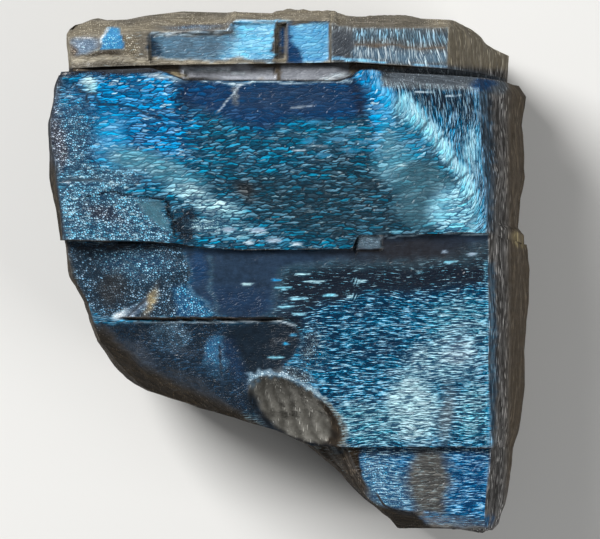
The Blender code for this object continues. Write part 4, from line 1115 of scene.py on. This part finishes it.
def cells_of(tree, coordinates, size, randomness):
    """A lattice of cells of a size, (length, width) in millimetres, leaning by ROW_SHIFT so that no columns
    line up. Gives the distance to the cell's edge, how far across the cell a place is from its own point,
    as a share of its width, and the cell's random values."""
    scaled = add(tree, "VectorMath", {0: coordinates, 1: (1 / size[0], 1 / size[1], 1)}, operation="MULTIPLY")
    apart = add(tree, "SeparateXYZ", {0: scaled})
    along_row, across_rows = apart.outputs["X"], apart.outputs["Y"]
    leant = add(tree, "Math", {0: across_rows, 1: ROW_SHIFT, 2: along_row}, operation="MULTIPLY_ADD")
    leaning = add(tree, "CombineXYZ", {0: leant, 1: across_rows})
    lattice = {"Vector": leaning, "Scale": 1, "Randomness": randomness}
    cells = add(tree, "TexVoronoi", lattice, voronoi_dimensions="2D")
    edge = add(tree, "TexVoronoi", lattice, voronoi_dimensions="2D", feature="DISTANCE_TO_EDGE")
    away = add(tree, "VectorMath", {0: leaning, 1: cells.outputs["Position"]}, operation="SUBTRACT")
    across = add(tree, "SeparateXYZ", {0: away}).outputs["Y"]
    return edge, across, add(tree, "SeparateColor", {0: cells.outputs["Color"]})


# Sizes of the etched patterns in millimetres, (length, width). Real frosting is finer than these dots: they
# are drawn coarser so that they still show.
LONG_PIT, SHORT_PIT, FROST_DOT = (1.6, 0.38), (0.9, 0.25), (0.3, 0.25)
STREAK_SCALES = (0.65, 7.2, 1)  # a streak is about 1.5 mm long and 0.14 mm wide
SPLINTER_SCALES = (4.2, 0.75, 4.2)  # a splinter is about 1.3 mm long and 0.24 mm wide
STRATA_SCALES = (0.25, 0.25, 2.4)  # a layer is about 0.4 mm thick


def lit_pits(tree, coordinates, size, flash, gap, randomness=0.75):
    """How brightly each place flashes, as painted sheen in the base colour, how far it is inside a pit, and
    the pit's own random value. A pit fills its cell but for a dark gap, wider where less flashes; it is lit
    where its own random value is under the flash share, most on its upper rim, which is a painted highlight on
    the side the light falls on, and more in some than in others."""
    edge, across, random = cells_of(tree, coordinates, size, randomness)
    fill = add(tree, "Math", {0: flash, 1: 0.22, 2: edge}, operation="MULTIPLY_ADD")
    inside = add(tree, "MapRange", {0: fill, 1: gap - 0.04, 2: gap + 0.04, 3: 0.0, 4: 1.0})
    lit = add(tree, "Math", {0: flash, 1: random}, operation="SUBTRACT")
    lit = add(tree, "MapRange", {0: lit, 1: -0.25, 2: 0.3, 3: 0.3, 4: 1.0})
    # Painted highlight: the upper rim of each pit, the side the light falls on, is brighter.
    rim = add(tree, "MapRange", {0: across, 1: 0.35, 2: -0.4, 3: 0.45, 4: 1.1})
    own = add(tree, "MapRange", {0: random.outputs[1], 1: 0.0, 2: 1.0, 3: 0.5, 4: 1.15})
    bright = rim
    for share in (own, lit, inside):
        bright = add(tree, "Math", {0: bright, 1: share}, operation="MULTIPLY")
    return bright, inside, random.outputs[2]


def etched_feldspar():
    """Rough moonstone, an alkali feldspar: glassy cleavage faces etched by nature into lens-shaped pits.

    The eye gets a soft blue flash from the pit faces that catch the light, near black between them, a
    glassy shine over both, and dull smoky sides. The blue flash is painted sheen, set in the base colour and
    the same from every view; the pits' bright upper rims, the ripples' crests and the near-white glints are
    painted highlights. It is opaque at this thickness. The shade shows where a pattern is 0 and the sheen
    where it is 1: pits, ripples or frosting on the face, and splinters and layers on the sides."""
    material = bpy.data.materials.new("etched_feldspar")
    material.use_nodes = True
    tree = material.node_tree
    shader = tree.nodes["Principled BSDF"]
    names = (*SETTINGS, "side", "layered")
    flash, frost, plain, rippled, side, layered = (
        add(tree, "Attribute", attribute_name=name).outputs["Fac"] for name in names)
    shade, sheen = (add(tree, "Attribute", attribute_name=name).outputs["Color"] for name in COLOURS)
    along_grain = add(tree, "Attribute", attribute_name="grain").outputs["Vector"]
    place = add(tree, "TexCoord").outputs["Object"]
    place = add(tree, "VectorMath", {0: place, "Scale": 1 / MM}, operation="SCALE")

    # Slow changes over the stone, each a noise stretched to a range: place, scale, detail and roughness,
    # then the noise's low and high values and what they become.
    strata_place = add(tree, "VectorMath", {0: place, 1: STRATA_SCALES}, operation="MULTIPLY")
    noises, slow = {}, {}
    for name, (where, scale, detail, roughness), (low, high, least, most) in (
        ("clumps", (place, 1.1, 3, 0.7), (0.38, 0.62, 0.5, 2.4)),
        ("clouds", (place, 0.9, 5, 0.75), (0.35, 0.65, 0.4, 1.4)),
        ("patches", (place, 0.28, 3, 0.6), (0.4, 0.6, 0.25, 1.1)),
        ("strata", (strata_place, 1, 5, 0.7), (0.42, 0.6, 0.0, 1.0)),
    ):
        settings = {"Vector": where, "Scale": scale, "Detail": detail, "Roughness": roughness}
        noises[name] = add(tree, "TexNoise", settings)
        slow[name] = add(tree, "MapRange", {0: noises[name], 1: low, 2: high, 3: least, 4: most})

    # Rows of pits, bent by waves and mottled by streaks.
    wave = {"Vector": along_grain, "Scale": 0.8, "Detail": 2, "Roughness": 0.6}
    wave = add(tree, "TexNoise", wave, noise_dimensions="2D").outputs["Color"]
    wave = add(tree, "VectorMath", {0: wave, 1: (0.5, 0.5, 0.5)}, operation="SUBTRACT")
    waved = add(tree, "VectorMath", {0: wave, 1: (1.0, 0.5, 0), 2: along_grain}, operation="MULTIPLY_ADD")
    long_lit, depth, long_own = lit_pits(tree, waved, LONG_PIT, flash, 0.22)
    short_lit, _, short_own = lit_pits(tree, waved, SHORT_PIT, flash, 0.32)
    streak_place = add(tree, "VectorMath", {0: along_grain, 1: STREAK_SCALES}, operation="MULTIPLY")
    streak = {"Vector": streak_place, "Scale": 1, "Detail": 4, "Roughness": 0.7, "Distortion": 0.15}
    streak = add(tree, "TexNoise", streak, noise_dimensions="2D")
    mottle = add(tree, "MapRange", {0: streak, 1: 0.35, 2: 0.65, 3: 0.5, 4: 1.35})
    pits = add(tree, "Math", {0: short_lit, 1: 0.45, 2: long_lit}, operation="MULTIPLY_ADD")
    pits = add(tree, "Math", {0: pits, 1: mottle}, operation="MULTIPLY")

    # Ripples, with painted highlights on their crests where a streak rises over a level, lower where more
    # flashes; and frosting.
    level = add(tree, "Math", {0: flash, 1: -0.3, 2: 0.65}, operation="MULTIPLY_ADD")
    ridge = add(tree, "Math", {0: streak, 1: level}, operation="SUBTRACT")
    ripples = add(tree, "MapRange", {0: ridge, 1: -0.02, 2: 0.05, 3: 0.0, 4: 1.0})
    crest_highlight = add(tree, "MapRange", {0: ridge, 1: 0.05, 2: 0.11, 3: 0.0, 4: 0.85})
    crest_highlight = add(tree, "Math", {0: crest_highlight, 1: rippled}, operation="MULTIPLY")
    dots, dot_depth, dot_own = lit_pits(tree, place, FROST_DOT, flash, 0.27, 1.0)
    dots = add(tree, "Math", {0: dots, 1: slow["clumps"]}, operation="MULTIPLY")

    # The broken sides: splinters whose own random value is high enough, and thin layers.
    splinter_place = add(tree, "VectorMath", {0: place, 1: SPLINTER_SCALES}, operation="MULTIPLY")
    splinter = add(tree, "TexVoronoi", {"Vector": splinter_place, "Scale": 1})
    near = add(tree, "MapRange", {0: splinter, 1: 0.5, 2: 0.25, 3: 0.0, 4: 1.0})
    splinters = add(tree, "SeparateColor", {0: splinter.outputs["Color"]})
    splinters = add(tree, "Math", {0: splinters, 1: flash}, operation="ADD")
    splinters = add(tree, "MapRange", {0: splinters, 1: 1.0, 2: 1.35, 3: 0.0, 4: 1.0})
    splinters = add(tree, "Math", {0: splinters, 1: near}, operation="MULTIPLY")
    splinters = add(tree, "Math", {0: splinters, 1: slow["patches"]}, operation="MULTIPLY")
    layers = add(tree, "Math", {0: slow["strata"], 1: layered}, operation="MULTIPLY")

    # One pattern out of these, by how far each place is rippled, frosted, plain or a side.
    even = add(tree, "Math", {0: flash, 1: slow["clouds"]}, operation="MULTIPLY")
    pattern = add(tree, "Mix", {0: rippled, 2: pits, 3: ripples})
    pattern = add(tree, "Mix", {0: frost, 2: pattern, 3: dots})
    pattern = add(tree, "Math", {0: pattern, 1: 1.5}, operation="POWER", use_clamp=True)
    pattern = add(tree, "Mix", {0: plain, 2: pattern, 3: even})
    broken = add(tree, "Math", {0: even, 1: 0.6}, operation="MULTIPLY")
    broken = add(tree, "Math", {0: splinters, 1: 0.5, 2: broken}, operation="MULTIPLY_ADD")
    broken = add(tree, "Mix", {0: plain, 2: splinters, 3: broken})
    broken = add(tree, "Math", {0: layers, 1: 0.22, 2: broken}, operation="MULTIPLY_ADD")
    pattern = add(tree, "Mix", {0: side, 2: pattern, 3: broken})
    least = add(tree, "Math", {0: flash, 1: 0.06}, operation="MULTIPLY")
    pattern = add(tree, "Math", {0: pattern, 1: least}, operation="MAXIMUM")

    # The blue is deeper in some pits than in others.
    own = add(tree, "Mix", {0: frost, 2: long_own, 3: dot_own})
    deeper = add(tree, "MapRange", {0: own, 1: 0.0, 2: 1.0, 3: 0.85, 4: 1.35})
    deeper = add(tree, "Mix", {0: plain, 2: deeper, 3: 1.0})
    sheen = add(tree, "HueSaturation", {"Color": sheen, "Saturation": deeper})
    colour = add(tree, "Mix", {"Factor": pattern, 6: shade, 7: sheen}, data_type="RGBA").outputs[2]

    # Painted near-white glints, highlights set in the base colour, in a few short pits where much flashes, and
    # on the ripples' crests.
    off_side = add(tree, "Math", {0: 1.0, 1: side}, operation="SUBTRACT")
    off_plain = add(tree, "MapRange", {0: plain, 1: 0.2, 2: 0.8, 3: 1.0, 4: 0.0})
    flashing = add(tree, "MapRange", {0: flash, 1: 0.4, 2: 0.65, 3: 0.0, 4: 1.0})
    painted_glint = add(tree, "MapRange", {0: short_own, 1: 0.82, 2: 0.9, 3: 0.0, 4: 0.75})
    for value in (short_lit, flashing):
        painted_glint = add(tree, "Math", {0: painted_glint, 1: value}, operation="MULTIPLY")
    painted_glint = add(tree, "Math", {0: painted_glint, 1: crest_highlight}, operation="MAXIMUM")
    for value in (off_side, off_plain):
        painted_glint = add(tree, "Math", {0: painted_glint, 1: value}, operation="MULTIPLY")
    white = (*linear("#CDF3FF"), 1)
    colour = add(tree, "Mix", {"Factor": painted_glint, 6: colour, 7: white}, data_type="RGBA").outputs[2]

    # Fine relief, and a glassy coat that the broken sides don't have.
    relief = add(tree, "Mix", {0: frost, 2: depth, 3: dot_depth})
    relief = add(tree, "Mix", {0: plain, 2: relief, 3: noises["clouds"]})
    coarse = add(tree, "Math", {0: splinters, 1: layers}, operation="ADD")
    coarse = add(tree, "Math", {0: coarse, 1: 2.5}, operation="MULTIPLY")
    relief = add(tree, "Mix", {0: side, 2: relief, 3: coarse})
    bump = add(tree, "Bump", {"Height": relief, "Distance": 0.12 * MM, "Strength": 0.8})
    rough = add(tree, "MapRange", {0: pattern, 1: 0.0, 2: 1.0, 3: 0.2, 4: 0.32})
    rough = add(tree, "Mix", {0: side, 2: rough, 3: 0.95})
    coat = add(tree, "Math", {0: off_side, 1: 0.2}, operation="MULTIPLY")

    tree.links.new(colour, shader.inputs["Base Color"])
    for name, node in {"Roughness": rough, "Coat Weight": coat, "Normal": bump}.items():
        tree.links.new(node.outputs[0], shader.inputs[name])
    for name, value in {"IOR": 1.52, "Specular IOR Level": 0.2, "Coat Roughness": 0.12}.items():
        shader.inputs[name].default_value = value
    return material


def plain_floor():
    """Matt painted board: pale and even, so that nothing but the stone's own shadow shows on it."""
    mesh = bpy.data.meshes.new("floor")
    mesh.from_pydata([(-2, -2, 0), (2, -2, 0), (2, 2, 0), (-2, 2, 0)], [], [(0, 1, 2, 3)])
    material = bpy.data.materials.new("matt_board")
    material.use_nodes = True
    shader = material.node_tree.nodes["Principled BSDF"]
    shader.inputs["Base Color"].default_value = (*linear("#DAD9D6"), 1)
    shader.inputs["Roughness"].default_value = 0.8
    mesh.materials.append(material)
    return mesh


def placed(name, data, location=(0, 0, 0), look_at=None):
    """An object in the scene, turned to look at a point where one is given."""
    made = bpy.data.objects.new(name, data)
    made.location = location
    if look_at is not None:
        made.rotation_euler = (Vector(look_at) - Vector(location)).to_track_quat("-Z", "Y").to_euler()
    bpy.context.scene.collection.objects.link(made)
    return made


def soft_light(name, location, size, power):
    """A square light this wide in metres and this strong in watts, turned to the stone."""
    light = bpy.data.lights.new(name, "AREA")
    light.size = size
    light.energy = power
    return placed(name, light, location, (0, 0, 0))


base_rings, layer_starts = stone_rings()
rings = carved(with_relief(base_rings, [FACE_WAVES], [SIDE_RIDGES, SIDE_LUMPS]))
x, y, z = np.moveaxis(rings, -1, 0)
run = np.broadcast_to(np.repeat(np.arange(6), RUN_COLUMNS), z.shape)
flatness = outward(rings)[..., 2]


etched = (run == FACE) & (z > ETCHED_FROM)
side = np.maximum(1 - ease(flatness - ETCHED_FACING, ETCHED_SOFT), ~etched)
side = side * (1 - cover(x, y, ETCHED_BEVEL) * etched)
looks = face_looks(rings, layer_starts)
looks.blend(side, side_looks(rings, run, flatness).values)
lay_rows(looks, EDGE_PAINT, *wandering(rings, [TONE_FRAY]), z, ease(flatness - EDGE_FACING, EDGE_SOFT))
chip_looks(rings, looks)
chip = ease(LOWER_HEIGHT - chip_floor(x, y), 0.12) * chip_shown(x, y, z)
sides = {"side": np.maximum(side, chip), "layered": side * (1 - chip)}
attributes = {**looks.values, **sides, "grain": grain(rings)}

rings = with_relief(rings, [FACE_RIPPLES], [SIDE_STRIAE, SIDE_SPLINTERS])
rings[..., 2] = np.maximum(rings[..., 2], 0)
stone = placed("moonstone_skin", skin_mesh("moonstone_skin", rings, attributes))
stone.data.materials.append(etched_feldspar())
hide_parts("moonstone")
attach(stone, "root")

placed("floor", plain_floor())
soft_light("key", (-0.55, 0.5, 0.55), size=0.4, power=13.6)
soft_light("fill", (0.65, -0.3, 0.4), size=0.5, power=4)
world = bpy.data.worlds.new("studio")
world.use_nodes = True
world.node_tree.nodes["Background"].inputs["Color"].default_value = (*linear("#E8ECF0"), 1)
world.node_tree.nodes["Background"].inputs["Strength"].default_value = 0.12
bpy.context.scene.world = world
bpy.context.scene.view_settings.view_transform = "Standard"

camera = placed("camera", bpy.data.cameras.new("camera"), (1.19 * MM, 0, 624 * MM))
camera.data.lens = 288
camera.data.clip_end = 10
bpy.context.scene.camera = camera
